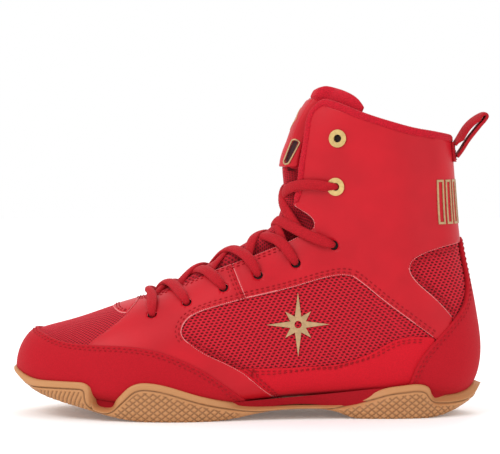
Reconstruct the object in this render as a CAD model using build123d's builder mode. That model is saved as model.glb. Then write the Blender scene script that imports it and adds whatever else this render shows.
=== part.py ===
from build123d import *
from math import cos, pi, radians, sin, tan
import os

os.makedirs("parts", exist_ok=True)

# A left boxing boot, in millimetres. The origin is on the ground under the ball
# of the foot. The toe points along -X, the heel along +X, the lateral (outer)
# side along -Y and up along +Z.

# ---------------------------------------------------------------- driving sizes
SOLE_FLOOR = 2.4          # rubber under the foot
SOLE_TOP = 40.0           # higher than any rubber edge, for the blank
SIDE = 80.0               # half width of every cutting block

# Skins of the upper, measured outward from the drawn form
LINING_IN, LINING_OUT = -5.2, -3.4
MESH_IN, MESH_OUT = -3.3, -2.1
LEATHER_IN, LEATHER_OUT = -2.0, -0.6
SUEDE_IN, SUEDE_OUT = -0.5, 0.7
SOLE_SEAT = 0.8           # inner face of the cup sole
INSOLE_IN, INSOLE_OUT = -9.4, -5.5
TONGUE_IN, WING_OUT, CORE_OUT = -13.2, -10.6, -3.9
CORE_HALF, HEAD_CORE_HALF = 3.8, 11.5  # half widths of the tongue in the throat
HEAD_IN, HEAD_WING_OUT, HEAD_CORE_OUT = -11.4, -7.2, -0.9

LACE_R = 1.6
LACE_GAP = 0.35           # room left round the lace in what it presses on
TURN_R = 2.6              # bends through a hole and round an eyestay edge
HOLE_R = 2.6              # punched lace holes
EYELET_HOLE_R = 2.4
EYELET_R = 5.4
EYELET_BARREL_R = 2.9
EYELET_FLANGE = 0.7

WASHER_AT, WASHER_THICK, WASHER_R = -5.75, 0.6, 4.6
TIP_LENGTH = 13.0

TONGUE_PIVOT = (68.0, 150.0)
KEEPER_Z, KEEPER_SPACING, KEEPER_LENGTH, KEEPER_WIDTH = 163.0, 7.0, 9.0, 2.6
TAB_WIDTH = 18.0

STAR_AT, STAR_LONG, STAR_SHORT, STAR_WAIST, STAR_HOLE = (70.0, 56.5), 19.0, 11.0, 5.0, 2.2
BAR_COUNT, BAR_FIRST_X, BAR_PITCH, BAR_Z = 4, 146.0, 6.6, 129.5
BAR_WIDTH, BAR_HEIGHT, BAR_RIM = 5.0, 27.0, 1.3

# Each row is one section of the form, in a plane that holds the Y direction:
# top x, top z, bottom x, bottom z, centre y, lateral half width, medial half
# width, depth of the widest level as a share of the section, squareness below it
STATIONS = [
    (-101.6, 32.0, -101.6, 26.0, 6.0, 4.0, 4.0, 0.50, 0.60),
    (-100.4, 37.5, -100.2, 24.5, 6.0, 12.0, 12.0, 0.60, 0.65),
    (-97.6, 43.8, -97.4, 22.5, 5.6, 18.5, 18.5, 0.64, 0.72),
    (-93.5, 49.0, -93.0, 20.5, 5.0, 24.0, 24.0, 0.66, 0.78),
    (-87.5, 52.6, -86.0, 18.0, 4.4, 29.0, 29.0, 0.68, 0.82),
    (-77.5, 55.6, -76.0, 15.0, 3.5, 34.0, 34.0, 0.71, 0.84),
    (-62.0, 60.0, -60.0, 11.6, 2.5, 39.5, 39.5, 0.75, 0.85),
    (-44.0, 66.2, -42.0, 8.6, 1.6, 44.5, 43.5, 0.78, 0.85),
    (-25.7, 71.8, -20.0, 6.8, 1.0, 47.5, 43.5, 0.81, 0.85),
    (-5.0, 79.2, 6.0, 6.4, 0.6, 47.0, 40.0, 0.82, 0.84),
    (16.0, 91.4, 32.0, 7.6, 0.2, 43.5, 34.5, 0.82, 0.82),
    (37.0, 103.8, 60.0, 9.6, 0.0, 39.0, 30.0, 0.81, 0.80),
    (49.5, 110.4, 90.0, 10.0, 0.0, 35.0, 30.0, 0.79, 0.76),
    (56.5, 117.0, 122.0, 9.2, 0.0, 33.0, 31.0, 0.76, 0.72),
    (59.6, 124.0, 152.0, 9.2, 0.0, 32.5, 32.0, 0.72, 0.68),
    (61.0, 131.0, 173.0, 14.0, 0.0, 32.0, 32.0, 0.68, 0.62),
    (61.3, 138.0, 181.5, 33.0, 0.0, 32.0, 32.0, 0.64, 0.58),
    (60.8, 145.0, 180.2, 57.0, 0.0, 32.0, 32.0, 0.60, 0.56),
    (60.5, 152.0, 175.8, 81.0, 0.0, 32.5, 32.5, 0.58, 0.56),
    (61.6, 160.0, 171.2, 103.0, 0.0, 33.0, 33.0, 0.56, 0.56),
    (64.6, 170.0, 168.8, 124.0, 0.0, 34.0, 34.0, 0.54, 0.56),
    (69.4, 181.5, 167.4, 143.0, 0.0, 35.0, 35.0, 0.53, 0.56),
    (75.6, 191.5, 166.0, 160.0, 0.0, 35.5, 35.5, 0.52, 0.56),
    (81.0, 200.0, 164.6, 172.0, 0.0, 36.0, 36.0, 0.52, 0.56),
    (86.0, 209.0, 163.6, 184.0, 0.0, 36.5, 36.5, 0.52, 0.56),
]
TOE_TIP, TOE_BACK = -101.6, -44.0     # the form also grows forward over this stretch
TOP_HANDLE, SIDE_HANDLE = 0.58, 0.55  # Bezier handles above the widest level
LEAST_SHARE = 0.42                    # an inner skin keeps this much of each side at the toe tip

# ------------------------------------------------------- outlines in side view
THROAT = [(84.8, 189.4), (78.7, 184.1), (76.3, 176.3), (74.7, 164.2), (72.8, 151.8),
          (71.6, 139.6), (69.3, 130.4), (67.4, 127.0)]
NOTCH = [(74.4, 122.7), (79.3, 117.7), (79.6, 114.4)]
EYESTAY = [(73.1, 110.1), (62.7, 105.2), (54.4, 102.0), (39.2, 96.0), (29.8, 92.6),
           (20.1, 89.0), (10.7, 84.8), (-1.3, 79.3), (-10.7, 75.6), (-16.7, 73.2),
           (-26.0, 72.0)]
COLLAR = [(84.8, 189.4), (94.3, 186.2), (100.6, 183.4), (117.2, 177.4), (135.1, 172.2),
          (148.0, 169.8), (160.5, 168.1), (176.0, 166.2)]
TOE_GUARD_EDGE = [(-88.9, 51.9), (-83.7, 49.7), (-73.5, 46.2), (-60.5, 44.6), (-48.3, 44.4),
                  (-24.0, 43.4), (-15.4, 41.9), (-3.3, 38.0), (11.9, 31.0), (26.1, 21.8),
                  (35.5, 14.1), (44.0, 6.0)]
STRAP_EDGE = [(2.9, 48.1), (11.6, 41.8), (26.1, 34.6), (38.5, 27.4), (47.4, 19.5),
              (59.3, 8.5), (66.0, 2.0)]
WINDOW_TOP = [(38.4, 72.6), (53.6, 75.8), (71.2, 80.2), (89.1, 85.1), (97.9, 86.0),
              (102.8, 85.2)]
WINDOW_NOSE = [(2.9, 48.1), (0.5, 51.5), (0.9, 56.5), (5.2, 61.8), (11.3, 65.0), (20.6, 67.9),
               (38.4, 72.6)]
WINDOW_DIAGONAL = [(102.8, 85.2), (107.6, 81.8), (119.4, 72.2), (130.8, 63.6), (143.0, 54.7),
                   (151.8, 48.4)]
WINDOW_FLOOR = [(32.2, 31.1), (59.3, 31.0), (77.0, 31.5), (95.1, 33.0), (107.0, 36.5),
                (116.2, 40.6), (125.1, 45.6), (131.0, 47.8), (139.8, 48.9), (151.8, 48.4)]
HEEL_WINDOW = [(163.0, 61.1), (158.6, 66.2), (149.3, 75.0), (139.5, 84.3), (137.1, 89.3),
               (138.1, 93.6), (142.9, 97.4), (155.8, 102.0), (170.1, 104.9)]
COUNTER_EDGE = [(136.0, 12.0), (136.9, 18.7), (138.7, 24.5), (142.9, 34.2), (149.3, 42.7),
                (155.6, 49.6), (164.5, 59.0), (170.9, 67.1), (173.7, 76.5), (173.1, 88.0),
                (170.7, 102.5), (169.9, 108.0)]

# The sole seen from the side: rubber top edge and tread line, toe to heel
RUBBER_TOP = [(-104.0, 29.4), (-98.9, 25.9), (-91.7, 23.2), (-81.8, 22.6), (-62.9, 22.6),
              (-56.1, 21.6), (-53.4, 19.2), (-53.6, 15.5), (-54.9, 11.4), (-50.0, 9.4),
              (-43.5, 9.0), (-40.2, 11.6), (-35.8, 15.7), (-29.8, 20.9), (-23.8, 22.9),
              (-17.9, 22.9), (-6.1, 20.6), (11.6, 15.2), (29.4, 11.2), (41.2, 9.6),
              (71.0, 9.6), (92.0, 10.6), (101.0, 12.2), (112.9, 14.9), (125.0, 18.3),
              (134.0, 19.5), (148.5, 19.1), (151.5, 17.4), (153.9, 13.6), (158.6, 12.4),
              (168.4, 12.8), (175.0, 14.4), (180.5, 17.6), (185.0, 20.8)]
TREAD = [(185.0, 19.0), (182.6, 17.0), (178.5, 11.6), (171.5, 7.0), (161.6, 2.6),
         (149.0, 0.0)]
TREAD_WAIST = [(107.0, 0.0), (101.0, 1.2), (95.0, 3.6), (77.0, 6.1), (59.0, 5.6),
               (41.2, 3.1), (29.3, 0.9), (19.0, 0.0)]
TREAD_TOE = [(-20.0, 0.0), (-35.7, 1.6), (-47.7, 4.2), (-56.8, 6.6), (-72.4, 10.4),
             (-85.0, 14.4), (-94.8, 19.6), (-104.0, 27.0)]

# The sole seen from above, from the toe tip round each side to the heel
PLAN_LATERAL = [(-103.2, 6.0), (-100.4, -12.0), (-93.0, -23.2), (-78.0, -33.2),
                (-58.0, -41.2), (-30.0, -48.4), (-8.0, -50.2), (15.0, -47.8), (45.0, -40.4),
                (80.0, -35.0), (115.0, -34.0), (140.0, -32.4), (158.0, -26.4),
                (172.0, -16.4), (180.0, -8.0), (183.2, 0.0)]
PLAN_MEDIAL = [(183.2, 0.0), (180.0, 8.0), (172.0, 16.4), (158.0, 26.4), (140.0, 32.2),
               (115.0, 33.0), (80.0, 30.6), (52.0, 31.6), (25.0, 38.6), (-5.0, 45.4),
               (-35.0, 48.2), (-58.0, 45.6), (-78.0, 40.2), (-93.0, 32.8),
               (-100.4, 23.0), (-103.2, 6.0)]

# Lace holes in side view, from the toe up; the last two rows are metal eyelets
PUNCHED = [(-17.7, 62.7), (3.1, 69.9), (25.2, 78.6), (46.1, 86.1), (68.8, 92.9), (91.4, 103.6)]
METAL = [(92.5, 138.9), (93.6, 167.9)]


# ----------------------------------------------------------------- form helpers
def section(row, grow):
    """One closed section of the form, its skin moved out by grow."""
    x_top, z_top, x_low, z_low, centre, lateral, medial, depth, square = row
    toe_share = max(0.0, min(1.0, (TOE_BACK - x_top) / (TOE_BACK - TOE_TIP)))
    forward = grow * toe_share ** 2
    top = Vector(x_top - forward, centre, z_top)
    low = Vector(x_low - forward, centre, z_low)
    down = (low - top).normalized()
    drawn = (low - top).length
    grow = max(grow, -LEAST_SHARE * drawn)
    length = drawn + 2 * grow
    wide = -grow + depth * length
    above = wide - SIDE_HANDLE * depth * length
    below = wide + square * (1 - depth) * length
    end = length - grow
    right = medial + max(grow, -LEAST_SHARE * medial)
    left = -lateral - max(grow, -LEAST_SHARE * lateral)
    plane = Plane(origin=top, x_dir=down, z_dir=down.cross(Vector(0, 1, 0)))
    quarters = [
        [(-grow, 0), (-grow, TOP_HANDLE * right), (above, right), (wide, right)],
        [(wide, right), (below, right), (end, square * right), (end, 0)],
        [(end, 0), (end, square * left), (below, left), (wide, left)],
        [(wide, left), (above, left), (-grow, TOP_HANDLE * left), (-grow, 0)],
    ]
    return Wire([Edge.make_bezier(*[plane.from_local_coords(Vector(*point)) for point in quarter])
                 for quarter in quarters])


def form(grow):
    """The solid inside the form's skin, with the skin moved out by grow."""
    with BuildPart() as body:
        add(Solid.make_loft([section(row, grow) for row in STATIONS]))
    return body.part


def shell(inner, outer):
    """The layer between two skins."""
    with BuildPart() as layer:
        add(form(outer))
        add(form(inner), mode=Mode.SUBTRACT)
    return layer.part


def prism(*runs, y_from=-SIDE, y_to=SIDE):
    """A block across the boot whose side view is outlined by the given runs.

    A run of three or more points is a smooth curve and two points are a straight
    line. Runs that don't meet are joined by straight lines."""
    with BuildPart() as block:
        with BuildSketch(Plane.XZ.offset(-y_to)):
            with BuildLine():
                for run, following in zip(runs, runs[1:] + runs[:1]):
                    if len(run) > 2:
                        Spline(*run)
                    elif len(run) == 2:
                        Line(*run)
                    if run[-1] != following[0]:
                        Line(run[-1], following[0])
            make_face()
        extrude(amount=y_to - y_from)
    return block.part


def cut(layer, *keep, without=()):
    """A layer kept inside every block of keep and outside every one of without."""
    with BuildPart() as panel:
        add(layer)
        for block in keep:
            add(block, mode=Mode.INTERSECT)
        for tool in without:
            add(tool, mode=Mode.SUBTRACT)
    return panel.part


def save(name, part):
    part.label = name
    export_step(part, f"parts/{name}.step")


def save_pair(name, layer, *keep, without=()):
    """The lateral and the medial panel of a layer, as two nodes."""
    save(f"{name}_lateral", cut(layer, *keep, LATERAL_HALF, without=without))
    save(f"{name}_medial", cut(layer, *keep, MEDIAL_HALF, without=without))


def skin_point(x, z, side, height):
    """The point height above the form's skin seen at (x, z) from one side."""
    hits = FORM.find_intersection_points(Axis((x, side * 200, z), (0, -side, 0)))
    point, normal = max(hits, key=lambda hit: side * hit[0].Y)
    if normal.Y * side < 0:
        normal = -normal
    return point + normal * height, normal


# ------------------------------------------------------------- skins and blocks
FORM = form(0)
lining_layer = shell(LINING_IN, LINING_OUT)
mesh_layer = shell(MESH_IN, MESH_OUT)
leather_layer = shell(LEATHER_IN, LEATHER_OUT)
suede_layer = shell(SUEDE_IN, SUEDE_OUT)

BOX_LOW, BOX_HIGH = -20.0, 260.0
LATERAL_HALF = prism([(-140, BOX_LOW), (230, BOX_LOW)], [(230, BOX_HIGH), (-140, BOX_HIGH)],
                     y_to=-0.05)
MEDIAL_HALF = prism([(-140, BOX_LOW), (230, BOX_LOW)], [(230, BOX_HIGH), (-140, BOX_HIGH)],
                    y_from=0.05)

# Everything above the collar and inside the throat is open
opening = prism(COLLAR, [(210, 166), (210, BOX_HIGH)], [(-26, BOX_HIGH), (-26, 72)],
                EYESTAY[::-1], NOTCH[::-1], THROAT[::-1])

# Under the skin the throat's sides come closer together, so its gap also goes
# straight down through the layers, from the eyestay edges as they lie on the skin
with BuildPart() as throat_gap:
    with BuildSketch(Plane.XY.offset(50)):
        with BuildLine():
            edges = [[tuple(skin_point(x, z, side, 0)[0])[:2] for x, z in EYESTAY[3:-1]]
                     for side in (-1, 1)]
            Polyline(*edges[0], (-23.5, 0.8), *edges[1][::-1], close=True)
        make_face()
    extrude(amount=80)
    add(prism([(-30, 62), (-26, 63), (-5, 69.5), (16, 80.5), (37, 92), (60, 98)],
              [(60, 140), (-30, 140)]), mode=Mode.INTERSECT)
throat_gap = throat_gap.part

# The tongue's head stands in this gap, clear of the shaft's front edges
head_gap = prism([(40, 120), (92, 120)], [(92, 230), (40, 230)],
                 y_from=-HEAD_CORE_HALF - 1.2, y_to=HEAD_CORE_HALF + 1.2)


def foot_well(length_share, shift, width_share, top):
    """A block under the foot: the sole's plan drawn in to these shares, up to top."""
    with BuildPart() as well:
        with BuildSketch(Plane.XY.offset(-5)):
            with BuildLine():
                for side_line in (PLAN_LATERAL, PLAN_MEDIAL):
                    Spline(*[(x * length_share + shift, y * width_share) for x, y in side_line])
            make_face()
        extrude(amount=40)
        add(prism([(-110, 33), (-88, 28), (-70, 22), (-42, 16), (0, 15), (60, top),
                   (110, top + 0.5), (152, top), (190, 26)], [(190, -10), (-110, -10)]),
            mode=Mode.INTERSECT)
    return well.part


# The hole that the lasted upper leaves under the foot, and the filler that levels it
board_well = foot_well(0.90, 4.0, 0.70, 19.0)
filler_well = foot_well(0.88, 4.5, 0.66, 22.0)


# ------------------------------------------------------------------------- sole
with BuildPart() as sole_blank:
    with BuildSketch():
        with BuildLine():
            Spline(*PLAN_LATERAL)
            Spline(*PLAN_MEDIAL)
        make_face()
    extrude(amount=SOLE_TOP)
    add(prism(RUBBER_TOP, TREAD, [(149, 0), (107, 0)], TREAD_WAIST, [(19, 0), (-20, 0)],
              TREAD_TOE), mode=Mode.INTERSECT)

# Foam wedge between the rubber floor and the upper, thickest under the heel
with BuildPart() as midsole:
    with BuildSketch():
        with BuildLine():
            Spline(*[(x * 0.93 + 3, y * 0.86) for x, y in PLAN_LATERAL])
            Spline(*[(x * 0.93 + 3, y * 0.86) for x, y in PLAN_MEDIAL])
        make_face()
    extrude(amount=SOLE_TOP)
    add(prism([(-78, 15.5), (-57, 9.2), (-36, 4.2), (-20, SOLE_FLOOR)], [(19, SOLE_FLOOR),
        (29, 3.4)], [(29, 3.4), (41, 5.7), (59, 8.2), (77, 8.7), (95, 6.0), (107, SOLE_FLOOR)],
        [(149, SOLE_FLOOR), (161, 5.2)], [(161, 5.2), (169, 8.6), (178, 16)],
        [(178, 18), (-78, 18)]), mode=Mode.INTERSECT)
    add(form(SOLE_SEAT), mode=Mode.SUBTRACT)
save("midsole_wedge", midsole.part)

with BuildPart() as outsole:
    add(sole_blank.part)
    add(form(SOLE_SEAT), mode=Mode.SUBTRACT)
    add(midsole.part, mode=Mode.SUBTRACT)
save("outsole", outsole.part)
print("sole", [s.volume for s in outsole.part.solids()], [s.volume for s in midsole.part.solids()])


# ------------------------------------------------------------------ lace route
GATES = [(-12.0, 75.0), (5.0, 82.0), (27.0, 91.4), (47.0, 99.2), (68.0, 107.6), (77.0, 119.9),
         (71.8, 141.0)]                 # where the lace passes the eyestay edge
CENTRES = [-21.0, -4.0, 17.0, 37.0, 50.5, 57.6]   # bar, then crossings up the instep
ANKLE_CROSSING = (60.4, 134.0)
OVER, UNDER = 2.5, -6.3                 # lace line above and below the eyestay
METAL_UNDER = -8.4                      # below the washers of the top eyelets
TAIL = [(99.0, 130.0), (100.5, 116.0), (100.5, 102.0)]
HOLES = PUNCHED + METAL


def top_point(x, height):
    """The point height above the form's top line at x."""
    hits = FORM.find_intersection_points(Axis((x, 0, 300), (0, 0, -1)))
    point, normal = max(hits, key=lambda hit: hit[0].Z)
    return point + (normal if normal.Z > 0 else -normal) * height


def edge_pass(row, side, height):
    return skin_point(*GATES[row], side, height)[0]


def beside_edge(row, side):
    """In the throat, just inside the eyestay edge and a little below the skin."""
    point, normal = skin_point(*GATES[row], side, 0)
    moved = point + Vector(0, -4.4 * side, 0)
    hits = FORM.find_intersection_points(Axis(moved + normal * 30, -normal))
    landing, _ = min(hits, key=lambda hit: (hit[0] - moved).length)
    return landing - normal * 1.8


def half_route(side, crossing_height):
    """From the middle of the bottom bar to the tail inside the collar."""
    points = [edge_pass(0, side, OVER)]
    for row in range(7):
        hole, normal = skin_point(*HOLES[row], side, 0)
        points.append(hole + normal * 3.6)
        if row == 6:
            points.append(hole + normal * METAL_UNDER)
            break
        between = [(a + b) / 2 for a, b in zip(HOLES[row], GATES[row])]
        points += [hole + normal * UNDER, skin_point(*between, side, UNDER)[0],
                   edge_pass(row, side, UNDER), beside_edge(row, side)]
        if row < 5:
            points.append(top_point(CENTRES[row + 1], crossing_height))
        else:
            x, z = ANKLE_CROSSING
            points.append(Vector(x - crossing_height, 0, z))
        side = -side
        points.append(edge_pass(row + 1, side, OVER))
    points += [skin_point(x, z, side, METAL_UNDER)[0] for x, z in TAIL]
    return points


def bend_radii(points, largest, smallest):
    """As large a radius at each corner as its two runs allow."""
    radii = []
    for before, corner, after in zip(points, points[1:], points[2:]):
        turn = (corner - before).get_angle(after - corner)
        run = min((corner - before).length, (after - corner).length)
        most = TURN_R if turn > 55 else largest
        radii.append(max(smallest, min(most, 0.45 * run / tan(radians(max(turn, 2)) / 2))))
    return radii


low_half = half_route(-1, 2.4)
high_half = half_route(1, 6.2)
lace_points = low_half[::-1] + [top_point(CENTRES[0], OVER)] + high_half
lace_radii = bend_radii(lace_points, 12.0, 0.5)
print("lace bends, mm:", " ".join(f"{radius:.1f}" for radius in lace_radii))

with BuildLine() as lace_line:
    FilletPolyline(*lace_points, radius=lace_radii)
lace_path = lace_line.wire()
print("lace length, mm:", round(lace_path.length))


def lace_tube(radius):
    with BuildPart() as tube:
        with BuildSketch(Plane(origin=lace_path @ 0, z_dir=lace_path % 0)):
            Circle(radius)
        sweep(path=lace_path)
    return tube.part


lace = lace_tube(LACE_R)
print("lace volume over section times length:",
      round(lace.volume / (pi * LACE_R ** 2 * lace_path.length), 4))
save("lace", lace)
lace_room = lace_tube(LACE_R + LACE_GAP)

# Plastic tips at the two tails
with BuildPart() as lace_tips:
    for end, along in ((lace_path @ 0, -(lace_path % 0)), (lace_path @ 1, lace_path % 1)):
        with BuildSketch(Plane(origin=end, z_dir=along)):
            Circle(LACE_R)
        extrude(amount=TIP_LENGTH)
save("lace_tips", lace_tips.part)


# --------------------------------------------------------------- holes and metal
def hole_plane(x, z, side, height=0.0):
    point, normal = skin_point(x, z, side, height)
    return Plane(origin=point, z_dir=normal)


with BuildPart() as lace_holes:
    for side in (-1, 1):
        for x, z in HOLES:
            with BuildSketch(hole_plane(x, z, side, -8)):
                Circle(EYELET_BARREL_R + 0.1 if (x, z) in METAL else HOLE_R)
            extrude(amount=10)
lace_holes = lace_holes.part

for side_name, side in (("lateral", -1), ("medial", 1)):
    # Flanged brass eyelets, and the washers that their barrels are rolled over
    with BuildPart() as eyelets:
        for x, z in METAL:
            with BuildSketch(hole_plane(x, z, side, LEATHER_OUT + 0.05)):
                Circle(EYELET_R)
                Circle(EYELET_HOLE_R, mode=Mode.SUBTRACT)
            extrude(amount=EYELET_FLANGE)
            with BuildSketch(hole_plane(x, z, side, WASHER_AT - WASHER_THICK)):
                Circle(EYELET_BARREL_R)
                Circle(EYELET_HOLE_R, mode=Mode.SUBTRACT)
            extrude(amount=LEATHER_OUT + 0.05 - WASHER_AT + WASHER_THICK)
    save(f"eyelets_{side_name}", eyelets.part)
    with BuildPart() as washers:
        for x, z in METAL:
            with BuildSketch(hole_plane(x, z, side, WASHER_AT - WASHER_THICK)):
                Circle(WASHER_R)
                Circle(EYELET_BARREL_R, mode=Mode.SUBTRACT)
            extrude(amount=WASHER_THICK)
    save(f"eyelet_washers_{side_name}", washers.part)


# ---------------------------------------------------------- lining and stiffening
pierced = (lace_holes, lace_room)
open_front = (opening, throat_gap, head_gap)
save_pair("lining", lining_layer, without=(*open_front, board_well, *pierced))
save("strobel_board", cut(lining_layer, board_well))
save("bottom_filler", cut(shell(MESH_IN, SUEDE_OUT - 0.1), filler_well))

insole_band = prism([(-87, 27), (-76, 24.5), (-60, 20.5), (-20, 16), (40, 18), (90, 19.5),
                     (130, 21), (158, 24), (185, 44)], [(185, -10), (-87, -10)])
save("insole", cut(shell(INSOLE_IN, INSOLE_OUT), insole_band))

toe_cap_block = prism([(-97, 46), (-84, 41), (-72, 37), (-62, 35.4), (-52, 33), (-46, 26),
                       (-44, 12), (-44, -6)], [(-120, -6), (-120, 46)])
save("toe_puff", cut(mesh_layer, toe_cap_block, without=(board_well,)))

counter_block = prism([(118, -6), (119, 14), (124, 26), (134, 36), (147, 40), (158.6, 43)],
                      [(158.6, 51), (164, 53.5)], [(190, 56), (190, -6)])
save("heel_stiffener", cut(mesh_layer, counter_block, without=(board_well,)))

shaft_block = prism([(88, 112), (100, 99), (112, 93), (124, 93), (131, 101), (141, 108.5),
                     (155, 113), (171, 115), (200, 117)], [(200, 240), (60, 240)],
                    [(60, 134), (76, 134)], [(81, 126), (86, 118)])
save_pair("shaft_foam", mesh_layer, shaft_block, without=(*open_front, *pierced))


# -------------------------------------------------------------------- textile mesh
vamp_block = prism([(-95.8, 47), (-83, 42.3), (-71, 38.4), (-61, 36.8), (-50, 36), (-38, 40),
                    (-30, 49), (-24, 60), (-21, 70)], [(-26, 74), (-26, 100)],
                   [(-95.8, 100)])
save("vamp_mesh", cut(mesh_layer, vamp_block, without=pierced))

side_mesh_block = prism([(-4, 52), (-2, 60), (8, 69), (22, 74), (36, 78), (71, 85), (97, 91),
                         (106, 89.5)], [(148, 59), (156.5, 51)], [(156.5, 43.6), (140, 42.6)],
                        [(140, 42.6), (126, 39.5), (108, 31), (95, 27.5), (77, 26), (40, 26),
                         (20, 31), (5, 39), (-2, 46), (-4, 52)])
save_pair("side_mesh", mesh_layer, side_mesh_block, without=pierced)

heel_mesh_block = prism([(165, 56), (157, 61.5), (146, 71), (135, 81), (131.5, 89), (133.5, 98),
                         (141, 103.5), (155, 108.5), (171, 111), (200, 112)], [(200, 60)])
save_pair("heel_mesh", mesh_layer, heel_mesh_block)


# ------------------------------------------------------------------------- leather
forefoot_block = prism([(-26, 130), (-26, 72)], [(-32.8, 63.8), (-53.8, 47.4)],
                       [(-60, 38), (-48, 37), (-24, 36), (-10, 33), (5, 26), (18, 18),
                        (26, 10), (32, -6)], [(70, -6), (66, 2)], STRAP_EDGE[::-1],
                       WINDOW_NOSE, [(29.8, 92.6), (29.8, 130)])
save_pair("forefoot_leather", leather_layer, forefoot_block,
          without=(*open_front, board_well, *pierced))

throat_base_block = prism([(-26.4, 100), (-26.4, 71.9)], [(-33.2, 63.6), (-36, 63.4)],
                          [(-43, 66.5), (-43, 100)])
save("throat_base", cut(leather_layer, throat_base_block, without=pierced))

quarter_block = prism([(30, 240), (30, 92.6)], WINDOW_TOP, WINDOW_DIAGONAL,
                      [(158, 42), (163, 50)], HEEL_WINDOW, [(210, 106), (210, 240)])
save_pair("quarter_leather", leather_layer, quarter_block, without=(*open_front, *pierced))

midfoot_block = prism([(x + 0.5, z) for x, z in STRAP_EDGE[3:]], [(66.5, -6), (150, -6)],
                      [(150, 20), (153, 40)], [(153, 47)], WINDOW_FLOOR[::-1])
save_pair("midfoot_suede", leather_layer, midfoot_block, without=(board_well,))

guard_block = prism([(-88.9, 90), (-88.9, 51.9)], TOE_GUARD_EDGE, [(44, -6), (-130, -6)],
                    [(-130, 90)])
save("toe_guard", cut(suede_layer, guard_block, without=(board_well,)))

heel_counter_block = prism(COUNTER_EDGE, [(210, 109), (210, -6)], [(136, -6)])
save("heel_counter", cut(suede_layer, heel_counter_block, without=(board_well,)))


# ------------------------------------------------------------------ collar binding
BINDING_OUTSIDE = [(180, 169.0), (160.5, 171.1), (148.0, 172.8), (135.1, 175.2), (117.2, 180.4),
                   (100.6, 186.6), (94.3, 189.4), (84.8, 192.6), (78.6, 190.2), (75.4, 184.9),
                   (73.6, 176.3), (72.0, 164.2), (70.1, 151.8), (68.9, 139.6), (66.7, 131.0),
                   (65.2, 127.4)]
binding_block = prism(BINDING_OUTSIDE, THROAT[::-1], COLLAR)
save("collar_binding", cut(shell(LINING_IN, LEATHER_OUT + 0.8), binding_block,
                           without=(head_gap, lace_room)))


# -------------------------------------------------------------------------- tongue
# The core fills the throat below the lace, and the wings lie inside the lining
tongue_block = prism([(-38, 58), (-20, 60), (0, 65.5), (22, 73.5), (44, 79.5), (66, 84.5),
                      (82, 93), (89, 105), (90, 120), (90, 135), (93, 150), (97, 165),
                      (102, 180), (106, 190)], [(106, 230), (-38, 230)])
core_band = prism([(-22.5, 20), (130, 20)], [(130, 230), (-22.5, 230)],
                  y_from=-CORE_HALF, y_to=CORE_HALF)
head_band = prism([(20, 20), (130, 20)], [(130, 230), (20, 230)],
                  y_from=-HEAD_CORE_HALF, y_to=HEAD_CORE_HALF)
below_tongue_top = prism([(70, 196), (76, 200.2), (84, 201.6), (94, 197.6), (112, 187)],
                         [(112, 20), (-60, 20)], [(-60, 196)])
pivot_x, pivot_z = TONGUE_PIVOT
upper_side = prism([(20, pivot_z + 0.6), (140, pivot_z + 0.6)], [(140, 230), (20, 230)])
lower_side = prism([(-60, pivot_z - 0.6), (pivot_x, pivot_z - 0.6)],
                   [(pivot_x + 40, pivot_z - 22), (pivot_x + 40, 20)], [(-60, 20)])

with BuildPart() as tongue_lower:
    add(cut(form(CORE_OUT), tongue_block, core_band, lower_side))
    add(cut(form(WING_OUT), tongue_block, lower_side))
    add(form(TONGUE_IN), mode=Mode.SUBTRACT)
save("tongue_lower", tongue_lower.part)

with BuildPart() as tongue_head:
    add(cut(form(HEAD_CORE_OUT), tongue_block, head_band, upper_side, below_tongue_top))
    add(cut(form(HEAD_WING_OUT), tongue_block, upper_side, below_tongue_top))
    add(form(HEAD_IN), mode=Mode.SUBTRACT)
save("tongue_head", tongue_head.part)

patch_block = prism([(58, 154), (66.4, 154)], [(68.6, 165), (70.4, 177), (73.2, 187)],
                    [(66, 187), (58, 170)], y_from=-10.6, y_to=10.6)
with BuildPart() as keeper_slots:
    with BuildSketch(Plane.YZ):
        for across in (-KEEPER_SPACING, KEEPER_SPACING):
            with Locations((across, KEEPER_Z)):
                SlotOverall(KEEPER_LENGTH, KEEPER_WIDTH, rotation=90)
    extrude(amount=90)
save("tongue_patch", cut(shell(HEAD_CORE_OUT + 0.1, HEAD_CORE_OUT + 1.0), patch_block,
                         without=(keeper_slots.part,)))

with BuildPart() as keeper_rims:
    add(shell(HEAD_CORE_OUT + 1.05, HEAD_CORE_OUT + 1.5))
    with BuildSketch(Plane.YZ):
        for across in (-KEEPER_SPACING, KEEPER_SPACING):
            with Locations((across, KEEPER_Z)):
                SlotOverall(KEEPER_LENGTH + 2, KEEPER_WIDTH + 2, rotation=90)
                SlotOverall(KEEPER_LENGTH, KEEPER_WIDTH, rotation=90, mode=Mode.SUBTRACT)
    extrude(amount=90, mode=Mode.INTERSECT)
save("keeper_rims", keeper_rims.part)


# ------------------------------------------------------------------------ pull tab
with BuildPart() as pull_tab:
    with BuildSketch(Plane.XZ.offset(-TAB_WIDTH / 2)):
        with BuildLine():
            Spline((172.6, 163.4), (175.4, 166.9), (179.9, 172.4), (185.4, 178.8), (187.0, 182.2),
                   (184.8, 184.6), (179.6, 181.4), (174.9, 177.2), (171.4, 171.9), (169.9, 166.7))
            Line((169.9, 166.7), (172.6, 163.4))
        make_face()
        with BuildLine():
            Spline((173.0, 168.0), (176.2, 171.8), (180.6, 176.8), (184.7, 181.4),
                   (184.0, 182.2), (179.8, 178.8), (175.6, 174.8), (173.0, 168.0))
        make_face(mode=Mode.SUBTRACT)
    extrude(amount=TAB_WIDTH)
save("pull_tab", pull_tab.part)

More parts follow.
